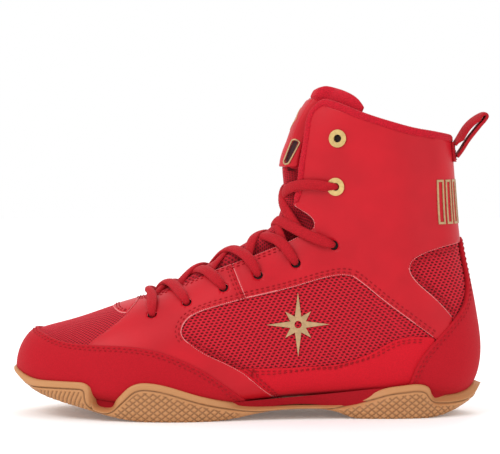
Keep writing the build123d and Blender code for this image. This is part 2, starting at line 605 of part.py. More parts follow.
# The two webbing ends, sewn flat to the back of the shaft
with BuildPart() as tab_root:
    with BuildSketch(Plane.XZ.offset(-TAB_WIDTH / 2)):
        with BuildLine():
            Polyline((160, 152.8), (168.4, 153.0), (168.9, 161.4), (168.4, 165.4), (160, 165.4),
                     close=True)
        make_face()
    extrude(amount=TAB_WIDTH)
    add(form(LEATHER_OUT + 0.05), mode=Mode.SUBTRACT)
save("tab_root", tab_root.part)


# --------------------------------------------------------------------- gold motifs
def star_points(x, z, long_ray, short_ray, waist):
    """Eight-rayed star, with long rays up, down and to the sides."""
    points = []
    for index in range(16):
        ray = waist if index % 2 else (short_ray if index % 4 else long_ray)
        angle = radians(90 + 22.5 * index)
        points.append((x + ray * cos(angle), z + ray * sin(angle)))
    return points


with BuildPart() as star_block:
    with BuildSketch(Plane.XZ.offset(-SIDE)):
        with BuildLine():
            Polyline(*star_points(*STAR_AT, STAR_LONG, STAR_SHORT, STAR_WAIST), close=True)
        make_face()
        with Locations(STAR_AT):
            Circle(STAR_HOLE, mode=Mode.SUBTRACT)
    extrude(amount=2 * SIDE)
save_pair("side_star", shell(MESH_OUT + 0.1, MESH_OUT + 0.6), star_block.part)

with BuildPart() as heel_bars:
    with BuildSketch(Plane.XZ.offset(-SIDE)):
        for index in range(BAR_COUNT):
            with Locations((BAR_FIRST_X + index * BAR_PITCH, BAR_Z)):
                Rectangle(BAR_WIDTH, BAR_HEIGHT)
                Rectangle(BAR_WIDTH - 2 * BAR_RIM, BAR_HEIGHT - 2 * BAR_RIM, mode=Mode.SUBTRACT)
    extrude(amount=2 * SIDE)
save("heel_bars", cut(shell(LEATHER_OUT + 0.1, LEATHER_OUT + 0.5), heel_bars.part))
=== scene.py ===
"""A left boxing boot: the looks of every piece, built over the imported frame.

The upper is one form (a fan of sections) with layers a few millimetres thick on it.
Each layer piece is a patch of that form: an outline in side view, a height above the
form, and a displacement for seams, weave and rolled edges. Lengths are millimetres
until the mesh is made, where MM turns them into metres.
"""
from functools import partial
from math import cos, pi, radians, sin

import bpy
import numpy as np
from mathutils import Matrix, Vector
from mathutils.bvhtree import BVHTree
from mathutils.geometry import delaunay_2d_cdt


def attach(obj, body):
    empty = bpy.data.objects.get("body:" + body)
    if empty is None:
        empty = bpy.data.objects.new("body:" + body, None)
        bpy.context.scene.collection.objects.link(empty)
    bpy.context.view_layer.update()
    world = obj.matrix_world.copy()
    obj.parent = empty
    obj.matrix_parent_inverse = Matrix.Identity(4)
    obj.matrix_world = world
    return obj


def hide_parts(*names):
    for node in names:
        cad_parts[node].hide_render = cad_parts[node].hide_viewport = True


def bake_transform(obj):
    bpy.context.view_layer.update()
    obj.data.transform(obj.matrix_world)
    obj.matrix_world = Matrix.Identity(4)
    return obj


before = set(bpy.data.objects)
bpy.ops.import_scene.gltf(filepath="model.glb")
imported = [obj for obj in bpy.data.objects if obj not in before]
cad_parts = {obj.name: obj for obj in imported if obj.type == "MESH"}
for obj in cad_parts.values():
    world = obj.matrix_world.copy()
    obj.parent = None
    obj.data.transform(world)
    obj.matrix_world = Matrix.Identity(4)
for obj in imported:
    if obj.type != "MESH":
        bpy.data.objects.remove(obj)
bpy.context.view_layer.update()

MM = 0.001
LATERAL, MEDIAL = -1, 1

# ---------------------------------------------------------------- the boot's form
# top x, top z, bottom x, bottom z, centre y, lateral half width, medial half width,
# depth of the widest level as a share of the section, squareness below it
STATIONS = np.array([
    (-101.6, 32.0, -101.6, 26.0, 6.0, 4.0, 4.0, 0.50, 0.60),
    (-100.4, 37.5, -100.2, 24.5, 6.0, 12.0, 12.0, 0.60, 0.65),
    (-97.6, 43.8, -97.4, 22.5, 5.6, 18.5, 18.5, 0.64, 0.72),
    (-93.5, 49.0, -93.0, 20.5, 5.0, 24.0, 24.0, 0.66, 0.78),
    (-87.5, 52.6, -86.0, 18.0, 4.4, 29.0, 29.0, 0.68, 0.82),
    (-77.5, 55.6, -76.0, 15.0, 3.5, 34.0, 34.0, 0.71, 0.84),
    (-62.0, 60.0, -60.0, 11.6, 2.5, 39.5, 39.5, 0.75, 0.85),
    (-44.0, 66.2, -42.0, 8.6, 1.6, 44.5, 43.5, 0.78, 0.85),
    (-25.7, 71.8, -20.0, 6.8, 1.0, 47.5, 43.5, 0.81, 0.85),
    (-5.0, 79.2, 6.0, 6.4, 0.6, 47.0, 40.0, 0.82, 0.84),
    (16.0, 91.4, 32.0, 7.6, 0.2, 43.5, 34.5, 0.82, 0.82),
    (37.0, 103.8, 60.0, 9.6, 0.0, 39.0, 30.0, 0.81, 0.80),
    (49.5, 110.4, 90.0, 10.0, 0.0, 35.0, 30.0, 0.79, 0.76),
    (56.5, 117.0, 122.0, 9.2, 0.0, 33.0, 31.0, 0.76, 0.72),
    (59.6, 124.0, 152.0, 9.2, 0.0, 32.5, 32.0, 0.72, 0.68),
    (61.0, 131.0, 173.0, 14.0, 0.0, 32.0, 32.0, 0.68, 0.62),
    (61.3, 138.0, 181.5, 33.0, 0.0, 32.0, 32.0, 0.64, 0.58),
    (60.8, 145.0, 180.2, 57.0, 0.0, 32.0, 32.0, 0.60, 0.56),
    (60.5, 152.0, 175.8, 81.0, 0.0, 32.5, 32.5, 0.58, 0.56),
    (61.6, 160.0, 171.2, 103.0, 0.0, 33.0, 33.0, 0.56, 0.56),
    (64.6, 170.0, 168.8, 124.0, 0.0, 34.0, 34.0, 0.54, 0.56),
    (69.4, 181.5, 167.4, 143.0, 0.0, 35.0, 35.0, 0.53, 0.56),
    (75.6, 191.5, 166.0, 160.0, 0.0, 35.5, 35.5, 0.52, 0.56),
    (81.0, 200.0, 164.6, 172.0, 0.0, 36.0, 36.0, 0.52, 0.56),
    (86.0, 209.0, 163.6, 184.0, 0.0, 36.5, 36.5, 0.52, 0.56),
])
TOP_HANDLE, SIDE_HANDLE = 0.58, 0.55

# Heights of the layers above the form
LINING = (-4.9, -3.4)
MESH = (-3.3, -2.1)
LEATHER = (-2.0, -0.6)
SUEDE = (-0.5, 0.7)

# Outlines in side view, the same lines that the CAD panels are cut to
THROAT = [(84.8, 189.4), (78.7, 184.1), (76.3, 176.3), (74.7, 164.2), (72.8, 151.8),
          (71.6, 139.6), (69.3, 130.4), (67.4, 127.0)]
NOTCH = [(74.4, 122.7), (79.3, 117.7), (79.6, 114.4)]
EYESTAY = [(73.1, 110.1), (62.7, 105.2), (54.4, 102.0), (39.2, 96.0), (29.8, 92.6),
           (20.1, 89.0), (10.7, 84.8), (-1.3, 79.3), (-10.7, 75.6), (-16.7, 73.2),
           (-26.0, 72.0)]
COLLAR = [(84.8, 189.4), (94.3, 186.2), (100.6, 183.4), (117.2, 177.4), (135.1, 172.2),
          (148.0, 169.8), (160.5, 168.1), (164.9, 167.2)]
TOE_GUARD_EDGE = [(-88.9, 51.9), (-83.7, 49.7), (-73.5, 46.2), (-60.5, 44.6), (-48.3, 44.4),
                  (-24.0, 43.4), (-15.4, 41.9), (-3.3, 38.0), (11.9, 31.0), (26.1, 21.8),
                  (35.5, 14.1), (44.0, 6.0)]
STRAP_EDGE = [(2.9, 48.1), (11.6, 41.8), (26.1, 34.6), (38.5, 27.4), (47.4, 19.5),
              (59.3, 8.5), (66.0, 2.0)]
WINDOW_TOP = [(38.4, 72.6), (53.6, 75.8), (71.2, 80.2), (89.1, 85.1), (97.9, 86.0),
              (102.8, 85.2)]
WINDOW_NOSE = [(2.9, 48.1), (0.5, 51.5), (0.9, 56.5), (5.2, 61.8), (11.3, 65.0), (20.6, 67.9),
               (38.4, 72.6)]
WINDOW_DIAGONAL = [(102.8, 85.2), (107.6, 81.8), (119.4, 72.2), (130.8, 63.6), (143.0, 54.7),
                   (151.8, 48.4)]
WINDOW_FLOOR = [(32.2, 31.1), (59.3, 31.0), (77.0, 31.5), (95.1, 33.0), (107.0, 36.5),
                (116.2, 40.6), (125.1, 45.6), (131.0, 47.8), (139.8, 48.9), (151.8, 48.4)]
HEEL_WINDOW = [(163.0, 61.1), (158.6, 66.2), (149.3, 75.0), (139.5, 84.3), (137.1, 89.3),
               (138.1, 93.6), (142.9, 97.4), (155.8, 102.0), (170.6, 104.9)]
COUNTER_EDGE = [(136.0, 12.0), (136.9, 18.7), (138.7, 24.5), (142.9, 34.2), (149.3, 42.7),
                (155.6, 49.6), (164.5, 59.0), (170.9, 67.1), (173.7, 76.5), (173.1, 88.0),
                (170.9, 101.0), (170.5, 107.6)]
VAMP_SEAM = [(-26.0, 72.0), (-32.8, 63.8), (-53.8, 47.4)]
THROAT_BASE_FRONT = [(-43.0, 66.2), (-36.0, 63.4), (-33.2, 63.6)]
QUARTER_SEAM = [(38.4, 72.6), (34.0, 82.7), (29.8, 92.6)]
HOLES = [(-17.7, 62.7), (3.1, 69.9), (25.2, 78.6), (46.1, 86.1), (68.8, 92.9), (91.4, 103.6)]
METAL = [(92.5, 138.9), (93.6, 167.9)]   # the two metal eyelets above the bare holes


# ------------------------------------------------------------------ small helpers
def finer(full):
    return full


def unit(vectors):
    return vectors / np.maximum(np.linalg.norm(vectors, axis=-1, keepdims=True), 1e-9)


def eased(share):
    """0 to 1 with a soft start and end."""
    return share * share * (3 - 2 * share)


def reach_along(points):
    """How far along the line each point is."""
    return np.concatenate([[0], np.cumsum(np.linalg.norm(np.diff(points, axis=0), axis=1))])


def circle_angles(count):
    return 2 * pi * np.arange(count) / count


def tube_faces(rings, count, first=0, closed=False, ends=False):
    """Quads between rings of count vertices each, and the two end faces if asked."""
    faces = []
    for ring in range(rings if closed else rings - 1):
        near, far = (first + (n % rings) * count + np.arange(count) for n in (ring, ring + 1))
        faces += np.stack([near, np.roll(near, -1), np.roll(far, -1), far], axis=1).tolist()
    if ends:
        faces.append((first + np.arange(count)[::-1]).tolist())
        faces.append((first + (rings - 1) * count + np.arange(count)).tolist())
    return faces


def sides():
    yield "lateral", LATERAL
    yield "medial", MEDIAL


# ------------------------------------------------------------------ curves and form
def cubic(values, knots, at):
    """Natural cubic spline through values at knots, read at the given places."""
    values, knots, at = np.asarray(values, float), np.asarray(knots, float), np.asarray(at, float)
    count = len(knots)
    step = np.diff(knots)
    system = np.eye(count)
    right = np.zeros_like(values)
    slope = (np.diff(values, axis=0).T / step).T
    for i in range(1, count - 1):
        system[i, i - 1:i + 2] = step[i - 1], 2 * (step[i - 1] + step[i]), step[i]
        right[i] = 6 * (slope[i] - slope[i - 1])
    bend = np.linalg.solve(system, right)
    low = np.clip(np.searchsorted(knots, at, side="right") - 1, 0, count - 2)
    shape = at.shape + (1,) * (values.ndim - 1)
    width = step[low].reshape(shape)
    ahead = (at - knots[low]).reshape(shape)
    back = width - ahead
    return ((bend[low] * back ** 3 + bend[low + 1] * ahead ** 3) / (6 * width)
            + (values[low] / width - bend[low] * width / 6) * back
            + (values[low + 1] / width - bend[low + 1] * width / 6) * ahead)


def smooth_line(points, spacing=1.5):
    """Points about spacing apart on a smooth curve through the given ones."""
    points = np.asarray(points, float)
    if len(points) == 2:
        count = max(2, int(np.linalg.norm(points[1] - points[0]) / spacing) + 1)
        return points[0] + np.linspace(0, 1, count)[:, None] * (points[1] - points[0])
    reach = reach_along(points)
    count = max(4, int(reach[-1] / spacing) + 1)
    return cubic(points, reach, np.linspace(0, reach[-1], count))


def outline(*runs):
    """A closed outline: runs of three or more points are smooth, two are straight."""
    parts = [smooth_line(run) if len(run) > 1 else np.asarray(run, float) for run in runs]
    return np.vstack(parts)


station_steps = np.linalg.norm(np.diff(STATIONS[:, :4], axis=0), axis=1)
STATION_U = np.concatenate([[0], np.cumsum(station_steps)]) / station_steps.sum()
STEP_U, STEP_Q = 4e-4, 2e-3              # how far slopes are measured over


def bezier(a, b, c, d, t):
    """A cubic Bezier curve's value at t."""
    s = 1 - t
    return s ** 3 * a + 3 * s * s * t * b + 3 * s * t * t * c + t ** 3 * d


def skin(u, q):
    """Points of the form. u runs from toe to collar, q once round each section:
    0 is the top line, 1 the lateral side, 2 the sole line, 3 (or -1) the medial side."""
    u, q = np.broadcast_arrays(np.asarray(u, float), np.asarray(q, float))
    row = cubic(STATIONS, STATION_U, u)
    top, low = row[..., 0:2], row[..., 2:4]
    around = np.mod(q, 4)
    lateral = around <= 2
    t = np.where(lateral, around, 4 - around)
    half = np.where(lateral, row[..., 5], row[..., 6])
    depth, square = row[..., 7], row[..., 8]
    length = np.linalg.norm(low - top, axis=-1)
    wide = depth * length
    upper, lower = np.clip(t, 0, 1), np.clip(t - 1, 0, 1)
    below = t > 1
    along = np.where(
        below,
        bezier(wide, wide + square * (length - wide), length, length, lower),
        bezier(0 * wide, 0 * wide, wide * (1 - SIDE_HANDLE), wide, upper))
    across = np.where(
        below,
        bezier(half, half, square * half, 0 * half, lower),
        bezier(0 * half, TOP_HANDLE * half, half, half, upper))
    down = (low - top) / length[..., None]
    xz = top + down * along[..., None]
    y = row[..., 4] + np.where(lateral, -1, 1) * across
    return np.stack([xz[..., 0], y, xz[..., 1]], axis=-1)


def skin_normal(u, q):
    """Unit outward normals of the form."""
    along = skin(np.clip(u + STEP_U, 0, 1), q) - skin(np.clip(u - STEP_U, 0, 1), q)
    round_it = skin(u, q + STEP_Q) - skin(u, q - STEP_Q)
    return unit(np.cross(round_it, along))


def locate(x, z):
    """Where the side-view point (x, z) is on the form: u, and q from 0 to 2."""
    x, z = np.atleast_1d(np.asarray(x, float)), np.atleast_1d(np.asarray(z, float))
    table_u = np.linspace(0, 1, 600)
    rows = cubic(STATIONS, STATION_U, table_u)
    dx, dz = rows[:, 2] - rows[:, 0], rows[:, 3] - rows[:, 1]
    side = (x[:, None] - rows[:, 0]) * dz - (z[:, None] - rows[:, 1]) * dx
    crossing = (side[:, :-1] <= 0) != (side[:, 1:] <= 0)
    first = np.where(crossing.any(axis=1), crossing.argmax(axis=1), 0)
    index = np.arange(len(x))
    before, after = side[index, first], side[index, first + 1]
    share = np.where(before != after, before / np.where(before == after, 1, before - after), 0)
    u = table_u[first] + np.clip(share, 0, 1) * (table_u[1] - table_u[0])
    low, high = np.full(len(x), 1e-4), np.full(len(x), 2 - 1e-4)
    row = cubic(STATIONS, STATION_U, u)
    down = (row[:, 2:4] - row[:, 0:2])
    down /= np.linalg.norm(down, axis=1, keepdims=True)
    goal = (x - row[:, 0]) * down[:, 0] + (z - row[:, 1]) * down[:, 1]
    for _ in range(26):
        middle = (low + high) / 2
        point = skin(u, middle)
        reached = (point[:, 0] - row[:, 0]) * down[:, 0] + (point[:, 2] - row[:, 1]) * down[:, 1]
        low, high = np.where(reached < goal, middle, low), np.where(reached < goal, high, middle)
    return u, (low + high) / 2


def inside_distance(points, border):
    """Signed distance from side-view points to a closed outline, positive inside."""
    result = np.empty(len(points))
    ends = np.roll(border, -1, axis=0)
    edge = ends - border
    edge_squared = np.maximum((edge ** 2).sum(axis=1), 1e-12)
    for start in range(0, len(points), 4000):
        part = points[start:start + 4000, None, :]
        along = np.clip(((part - border) * edge).sum(axis=2) / edge_squared, 0, 1)
        nearest = border + along[..., None] * edge
        distance = np.sqrt(((part - nearest) ** 2).sum(axis=2)).min(axis=1)
        above = (border[:, 1] > part[..., 1]) != (ends[:, 1] > part[..., 1])
        rise = np.where(edge[:, 1] == 0, 1e-12, edge[:, 1])
        cross_x = border[:, 0] + (part[..., 1] - border[:, 1]) * edge[:, 0] / rise
        inside = (above & (part[..., 0] < cross_x)).sum(axis=1) % 2 == 1
        result[start:start + 4000] = np.where(inside, distance, -distance)
    return result


# ------------------------------------------------------------------ paths on the skin
# A path is an array of (u, q) rows. q is positive on the lateral side.
def flank(*runs, side=LATERAL):
    """The path under side-view runs, on one side."""
    points = outline(*runs)
    u, q = locate(points[:, 0], points[:, 1])
    return np.stack([u, q if side == LATERAL else -q], axis=1)


def level(u_from, u_to, q, count=60):
    """A path along the boot at one q, such as the top line or the back seam."""
    return np.stack([np.linspace(u_from, u_to, count), np.full(count, float(q))], axis=1)


def girth(u, q_from, q_to, count=40):
    """A path round the boot at one u."""
    return np.stack([np.full(count, float(u)), np.linspace(q_from, q_to, count)], axis=1)


def mirrored(path):
    """The same line on the other side, over the top of the boot."""
    return path[::-1] * (1, -1)


def mirrored_below(path):
    """The same line on the other side, round the back or under the foot."""
    return np.stack([path[::-1, 0], 4 - path[::-1, 1]], axis=1)


def raised(path, height=0.0):
    """The path's points in space, at one height above the form or one for each point."""
    height = np.asarray(height, float)
    return skin(*path.T) + skin_normal(*path.T) * (height[:, None] if height.ndim else height)


def slopes(path):
    """How skin points move with u and with q, in millimetres."""
    u, q = path.T
    along = skin(np.clip(u + STEP_U, 0, 1), q) - skin(np.clip(u - STEP_U, 0, 1), q)
    round_it = skin(u, q + STEP_Q) - skin(u, q - STEP_Q)
    return along / (2 * STEP_U), round_it / (2 * STEP_Q)


def shifted(path, amount):
    """The path moved sideways over the skin by amount millimetres, to its left seen
    from outside."""
    move = np.cross(skin_normal(*path.T), unit(np.gradient(raised(path), axis=0))) * amount
    along, round_it = slopes(path)
    aa, ab, bb = [(x * y).sum(axis=1) for x, y in
                  ((along, along), (along, round_it), (round_it, round_it))]
    am, bm = (along * move).sum(axis=1), (round_it * move).sum(axis=1)
    least = aa * bb - ab * ab + 1e-6
    step = np.stack([(am * bb - bm * ab) / least, (bm * aa - am * ab) / least], axis=1)
    result = path + step
    result[:, 0] = np.clip(result[:, 0], 0, 1)
    return result


def resampled(points, spacing):
    """Even steps along a line of 3-D points: where each falls between the points,
    counted from 0, and the line's length."""
    reach = reach_along(points)
    count = max(2, int(round(reach[-1] / spacing)) + 1)
    places = np.linspace(0, reach[-1], count)
    return np.interp(places, reach, np.arange(len(points))), reach[-1]


def read_rows(rows, at):
    """Rows between the given ones, at places counted from 0."""
    index = np.arange(len(rows))
    return np.stack([np.interp(at, index, column) for column in rows.T], axis=1)


def along_path(path, spacing):
    """The same path with points at even spacing on the skin."""
    return read_rows(path, resampled(raised(path), spacing)[0])


def line_distance(points, lines):
    """Distance in 3-D from each point to the nearest of some polylines."""
    best = np.full(len(points), 1e9)
    for line in lines:
        edge = np.diff(line, axis=0)
        squared = np.maximum((edge ** 2).sum(axis=1), 1e-12)
        for start in range(0, len(points), 3000):
            part = points[start:start + 3000, None, :]
            share = np.clip(((part - line[:-1]) * edge).sum(axis=2) / squared, 0, 1)
            gap = part - (line[:-1] + share[..., None] * edge)
            nearest = np.sqrt((gap ** 2).sum(axis=2).min(axis=1))
            best[start:start + 3000] = np.minimum(best[start:start + 3000], nearest)
    return best


# ---------------------------------------------------------------------- mesh making
def mesh_piece(name, vertices, faces, body="boot", materials=(), face_slots=None,
               smooth=True, values=None):
    """A mesh object from millimetre vertices, riding on a body."""
    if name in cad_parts:
        name += "_skin"
    mesh = bpy.data.meshes.new(name)
    mesh.from_pydata([tuple(v) for v in np.asarray(vertices) * MM], [], faces)
    for material in materials:
        mesh.materials.append(material)
    if face_slots is not None:
        mesh.polygons.foreach_set("material_index", np.asarray(face_slots, np.int32))
    mesh.polygons.foreach_set("use_smooth", np.full(len(mesh.polygons), smooth))
    for key, data in (values or {}).items():
        layer = mesh.attributes.new(key, "FLOAT", "POINT")
        layer.data.foreach_set("value", np.asarray(data, np.float32))
    mesh.update()
    piece = bpy.data.objects.new(name, mesh)
    bpy.context.scene.collection.objects.link(piece)
    if body:
        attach(piece, body)
    return piece


DOMAIN = np.array([430.0, 78.0])        # millimetres per unit of u and of q, about
RAW_WIDTH = 0.42                         # the pale cut edge seen from the front
EDGE_ROLL_WIDTH = 0.55                   # how far in a cut edge is rounded
BORDER_SPACING = 1.3
TUCK_WIDTH = 7.0                         # how far in a hidden border is lowered


def patch(border, spacing, trims=(), rings=(0.5, 1.1, 2.0), holes=()):
    """Triangles filling a closed path: (paths of the vertices, triangles, trims in 3-D).

    Trims are the parts of the border that show, and rings of vertices follow them.
    Holes are closed paths that are left open."""
    border = along_path(np.vstack([border, border[:1]]), BORDER_SPACING)[:-1]
    flat_border = border * DOMAIN
    low, high = flat_border.min(axis=0), flat_border.max(axis=0)
    xs = np.arange(low[0], high[0], spacing)
    ys = np.arange(low[1], high[1], spacing)
    grid = np.stack(np.meshgrid(xs, ys, indexing="ij"), axis=-1)
    grid[::2, :, 1] += spacing / 2
    grid = grid.reshape(-1, 2)
    grid = grid[inside_distance(grid, flat_border) > spacing * 0.4]
    lines = [raised(trim) for trim in trims]
    reach = rings[-1] + spacing * 0.45 if rings and lines else 0
    extra = []
    if lines:
        near = line_distance(raised(grid / DOMAIN), lines)
        grid = grid[near > reach]
        for trim in trims:
            dense = along_path(trim, BORDER_SPACING)
            for ring in rings:
                for sign in (-1, 1):
                    moved = shifted(dense, sign * ring) * DOMAIN
                    inner = moved[inside_distance(moved, flat_border) > 0.05]
                    if len(inner):
                        gap = line_distance(raised(inner / DOMAIN), lines)
                        extra.append(inner[gap > ring * 0.8])
    loose = np.vstack([*extra, grid]) if extra else grid
    edges, parts, used = [], [flat_border], len(flat_border)
    for hole in holes:
        flat_hole = hole * DOMAIN
        around = inside_distance(loose, flat_hole)
        loose = loose[around < -0.25]
        edges += [(used + k, used + (k + 1) % len(hole)) for k in range(len(hole))]
        parts.append(flat_hole)
        used += len(hole)
    points = np.vstack([*parts, loose])
    result = delaunay_2d_cdt([Vector(p) for p in points], edges,
                             [list(range(len(flat_border)))], 1, 1e-4)
    flat = np.array([tuple(v) for v in result[0]])
    triangles = np.array([list(face) for face in result[2]])
    for hole in holes:
        middle = flat[triangles].mean(axis=1)
        triangles = triangles[inside_distance(middle, hole * DOMAIN) < 0]
    return flat / DOMAIN, triangles.tolist(), lines


def boundary_loops(triangles):
    """Directed edges of the triangles that have no partner."""
    edges = {}
    for a, b, c in triangles:
        for edge in ((a, b), (b, c), (c, a)):
            edges[edge] = True
    return [(a, b) for a, b in edges if (b, a) not in edges]


def closed_sheet(triangles, upper, normal):
    """The triangles turned outward, and the faces of the upper sheet, of the lower one
    (whose vertices follow the upper ones) and of the rim between them."""
    sample = np.array(triangles[:: max(1, len(triangles) // 200)])
    a, b, c = (upper[sample[:, i]] for i in range(3))
    if (np.cross(b - a, c - a) * normal[sample[:, 0]]).sum() < 0:
        triangles = [triangle[::-1] for triangle in triangles]
    count = len(upper)
    faces = list(triangles) + [[c + count, b + count, a + count] for a, b, c in triangles]
    faces += [[b, a, a + count, b + count] for a, b in boundary_loops(triangles)]
    return triangles, faces


def doubled(values):
    """Per-vertex values for both sheets."""
    return {key: np.concatenate([v, v]) for key, v in values.items()}


def stand_in(piece, node):
    """Lets the piece stand for the frame's node, whose own mesh is hidden."""
    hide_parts(node)
    return piece


def layer_piece(node, slot, border, heights, material, edge_material=None, spacing=2.2,
                trims=(), relief=None, body="boot", roll=0.45, rings=(0.5, 1.1, 2.0),
                values=None, tuck=0.0, holes=()):
    """A closed panel between two heights over the form, with its cut edges rolled. It
    stands in for a node.

    relief(path, distance) adds to the upper height; values(path, distance) gives
    per-vertex numbers for the material. tuck lowers it where a border that doesn't show
    runs under its neighbour."""
    inner, outer = heights
    path, triangles, lines = patch(border, spacing, trims, rings, holes)
    points = raised(path)
    distance = line_distance(points, lines) if lines else np.full(len(points), np.inf)
    top = outer - roll * np.exp(-(distance / EDGE_ROLL_WIDTH) ** 2)
    if relief is not None:
        top = top + relief(path, distance)
    if tuck:
        inset = inside_distance(path * DOMAIN, border * DOMAIN)
        hidden = np.clip(1 - inset / TUCK_WIDTH, 0, 1) * (distance > inset * 1.5 + 1)
        top = top - tuck * hidden
    normal = skin_normal(*path.T)
    upper, lower = points + normal * top[:, None], points + normal * inner
    triangles, faces = closed_sheet(triangles, upper, normal)
    slots = np.zeros(len(faces), int)
    if edge_material:
        slots[:len(triangles)] = distance[triangles].mean(axis=1) < RAW_WIDTH
        slots[2 * len(triangles):] = 1
    data = doubled(values(path, distance)) if values else None
    materials = [material, edge_material] if edge_material else [material]
    piece = mesh_piece(node, np.vstack([upper, lower]), faces, body, materials, slots,
                       values=data)
    return stand_in(piece, node)


class Stitches:
    """Rows of stitches, gathered into one mesh. Each stitch is a short bowed capsule."""
    LENGTH, GAP, RADIUS, SIDES = 2.3, 1.0, 0.36, 6
    BOW = np.array([-0.30, 0.05, 0.16, 0.05, -0.30])     # height along a stitch
    SWELL = np.array([0.45, 0.9, 1.0, 0.9, 0.45])        # its thickness, as a share

    def __init__(self):
        self.vertices, self.faces = [], []

    def row(self, path, height):
        spacing = 0.5
        fine_path = along_path(path, spacing)
        dense, normals = raised(fine_path), skin_normal(*fine_path.T)
        count = int((len(dense) - 1) * spacing // (self.LENGTH + self.GAP))
        per = (len(dense) - 1) / max(count, 1)
        share = self.LENGTH / (self.LENGTH + self.GAP)
        for n in range(count):
            at = (n + share * np.linspace(0, 1, len(self.BOW))) * per
            middle, normal = read_rows(dense, at), read_rows(normals, at)
            self.capsule(middle + normal * (self.BOW + height)[:, None], normal)

    def capsule(self, middle, normal):
        start = len(self.vertices)
        tangent = unit(middle[-1] - middle[0])
        across = unit(np.cross(tangent, normal[2]))
        up = np.cross(across, tangent)
        for point, radius in zip(middle, self.SWELL * self.RADIUS):
            self.vertices += [point + (across * cos(angle) + up * sin(angle)) * radius
                              for angle in circle_angles(self.SIDES)]
        self.faces += tube_faces(len(middle), self.SIDES, start, ends=True)

    def piece(self, name, slot):
        piece = mesh_piece(name, np.array(self.vertices), self.faces, "boot", [THREAD])


# ------------------------------------------------------------------------ materials
def new_material(name, colour, roughness, **inputs):
    material = bpy.data.materials.new(name)
    material.use_nodes = True
    shader = material.node_tree.nodes["Principled BSDF"]
    shader.inputs["Base Color"].default_value = (*colour, 1)
    shader.inputs["Roughness"].default_value = roughness
    for key, value in inputs.items():
        shader.inputs[key.replace("_", " ")].default_value = value
    return material, shader


def node(material, kind, **settings):
    made = material.node_tree.nodes.new(kind)
    for key, value in settings.items():
        if key in made.inputs:
            made.inputs[key].default_value = value
        else:
            setattr(made, key, value)
    return made


def wire(material, source, target):
    material.node_tree.links.new(source, target)


def scaled_noise(material, scale, detail=3.0, kind="ShaderNodeTexNoise"):
    """Noise in object coordinates, with scale in features per metre."""
    texture = node(material, kind, Scale=scale)
    if kind == "ShaderNodeTexNoise":
        texture.inputs["Detail"].default_value = detail
    coordinates = node(material, "ShaderNodeTexCoord")
    wire(material, coordinates.outputs["Object"], texture.inputs["Vector"])
    return texture


def vary_colour(material, shader, source, low, high, at=(0.35, 0.65)):
    ramp = node(material, "ShaderNodeValToRGB")
    ramp.color_ramp.elements[0].position, ramp.color_ramp.elements[1].position = at
    ramp.color_ramp.elements[0].color = (*low, 1)
    ramp.color_ramp.elements[1].color = (*high, 1)
    wire(material, source, ramp.inputs["Fac"])
    wire(material, ramp.outputs["Color"], shader.inputs["Base Color"])
    return ramp


def vary_roughness(material, shader, source, low, high):
    spread = node(material, "ShaderNodeMapRange")
    spread.inputs["To Min"].default_value = low
    spread.inputs["To Max"].default_value = high
    wire(material, source, spread.inputs["Value"])
    wire(material, spread.outputs["Result"], shader.inputs["Roughness"])


def bump(material, shader, source, strength, distance, under=None):
    made = node(material, "ShaderNodeBump", Strength=strength, Distance=distance)
    wire(material, source, made.inputs["Height"])
    if under is not None:
        wire(material, under.outputs["Normal"], made.inputs["Normal"])
    wire(material, made.outputs["Normal"], shader.inputs["Normal"])
    return made


def shade(colour, factor):
    return tuple(min(1.0, c * factor) for c in colour)


RED = (0.475, 0.0055, 0.014)
SUEDE_RED = (0.42, 0.004, 0.012)
KNIT_RED = (0.50, 0.005, 0.018)
GUM = (0.47, 0.215, 0.080)
GOLD = (0.46, 0.30, 0.15)


def leather_material():
    material, shader = new_material("red_leather", RED, 0.42, Specular_IOR_Level=0.2)
    broad = scaled_noise(material, 45, 2)
    vary_colour(material, shader, broad.outputs["Fac"], shade(RED, 0.93), shade(RED, 1.05))
    grain = scaled_noise(material, 1900, kind="ShaderNodeTexVoronoi")
    fine = scaled_noise(material, 5200, 4)
    first = bump(material, shader, grain.outputs["Distance"], 0.16, 0.00012)
    bump(material, shader, fine.outputs["Fac"], 0.10, 0.0001, first)
    vary_roughness(material, shader, broad.outputs["Fac"], 0.38, 0.48)
    return material


def suede_material(name="red_suede", colour=SUEDE_RED):
    material, shader = new_material(name, colour, 0.86, Sheen_Weight=0.05, Sheen_Roughness=0.5,
                                    Specular_IOR_Level=0.2)
    shader.inputs["Sheen Tint"].default_value = (1.0, 0.45, 0.45, 1)
    nap = scaled_noise(material, 1500, 5)
    vary_colour(material, shader, nap.outputs["Fac"], shade(colour, 0.90), shade(colour, 1.07))
    fibre = scaled_noise(material, 6000, 4)
    bump(material, shader, fibre.outputs["Fac"], 0.5, 0.00018)
    return material


def raw_edge_material():
    material, shader = new_material("raw_edge", (0.78, 0.20, 0.20), 0.8)
    fibre = scaled_noise(material, 3000, 4)
    vary_colour(material, shader, fibre.outputs["Fac"], (0.55, 0.06, 0.08), (0.85, 0.32, 0.30))
    bump(material, shader, fibre.outputs["Fac"], 0.4, 0.0002)
    return material


def mesh_material(name, colour, pit_shade_colour):
    """Knitted mesh, with painted shade in its holes: a per-vertex value that is 1 at the bottom
    of a hole darkens the colour there.
    """
    material, shader = new_material(name, colour, 0.75, Sheen_Weight=0.06,
                                    Specular_IOR_Level=0.25)
    painted_pit_shade = node(material, "ShaderNodeAttribute", attribute_name="painted_pit_shade")
    # painted shade: darker towards the bottom of each hole
    vary_colour(material, shader, painted_pit_shade.outputs["Fac"], colour, pit_shade_colour, (0.15, 0.75))
    yarn = scaled_noise(material, 3500, 3)
    bump(material, shader, yarn.outputs["Fac"], 0.5, 0.0003)
    return material


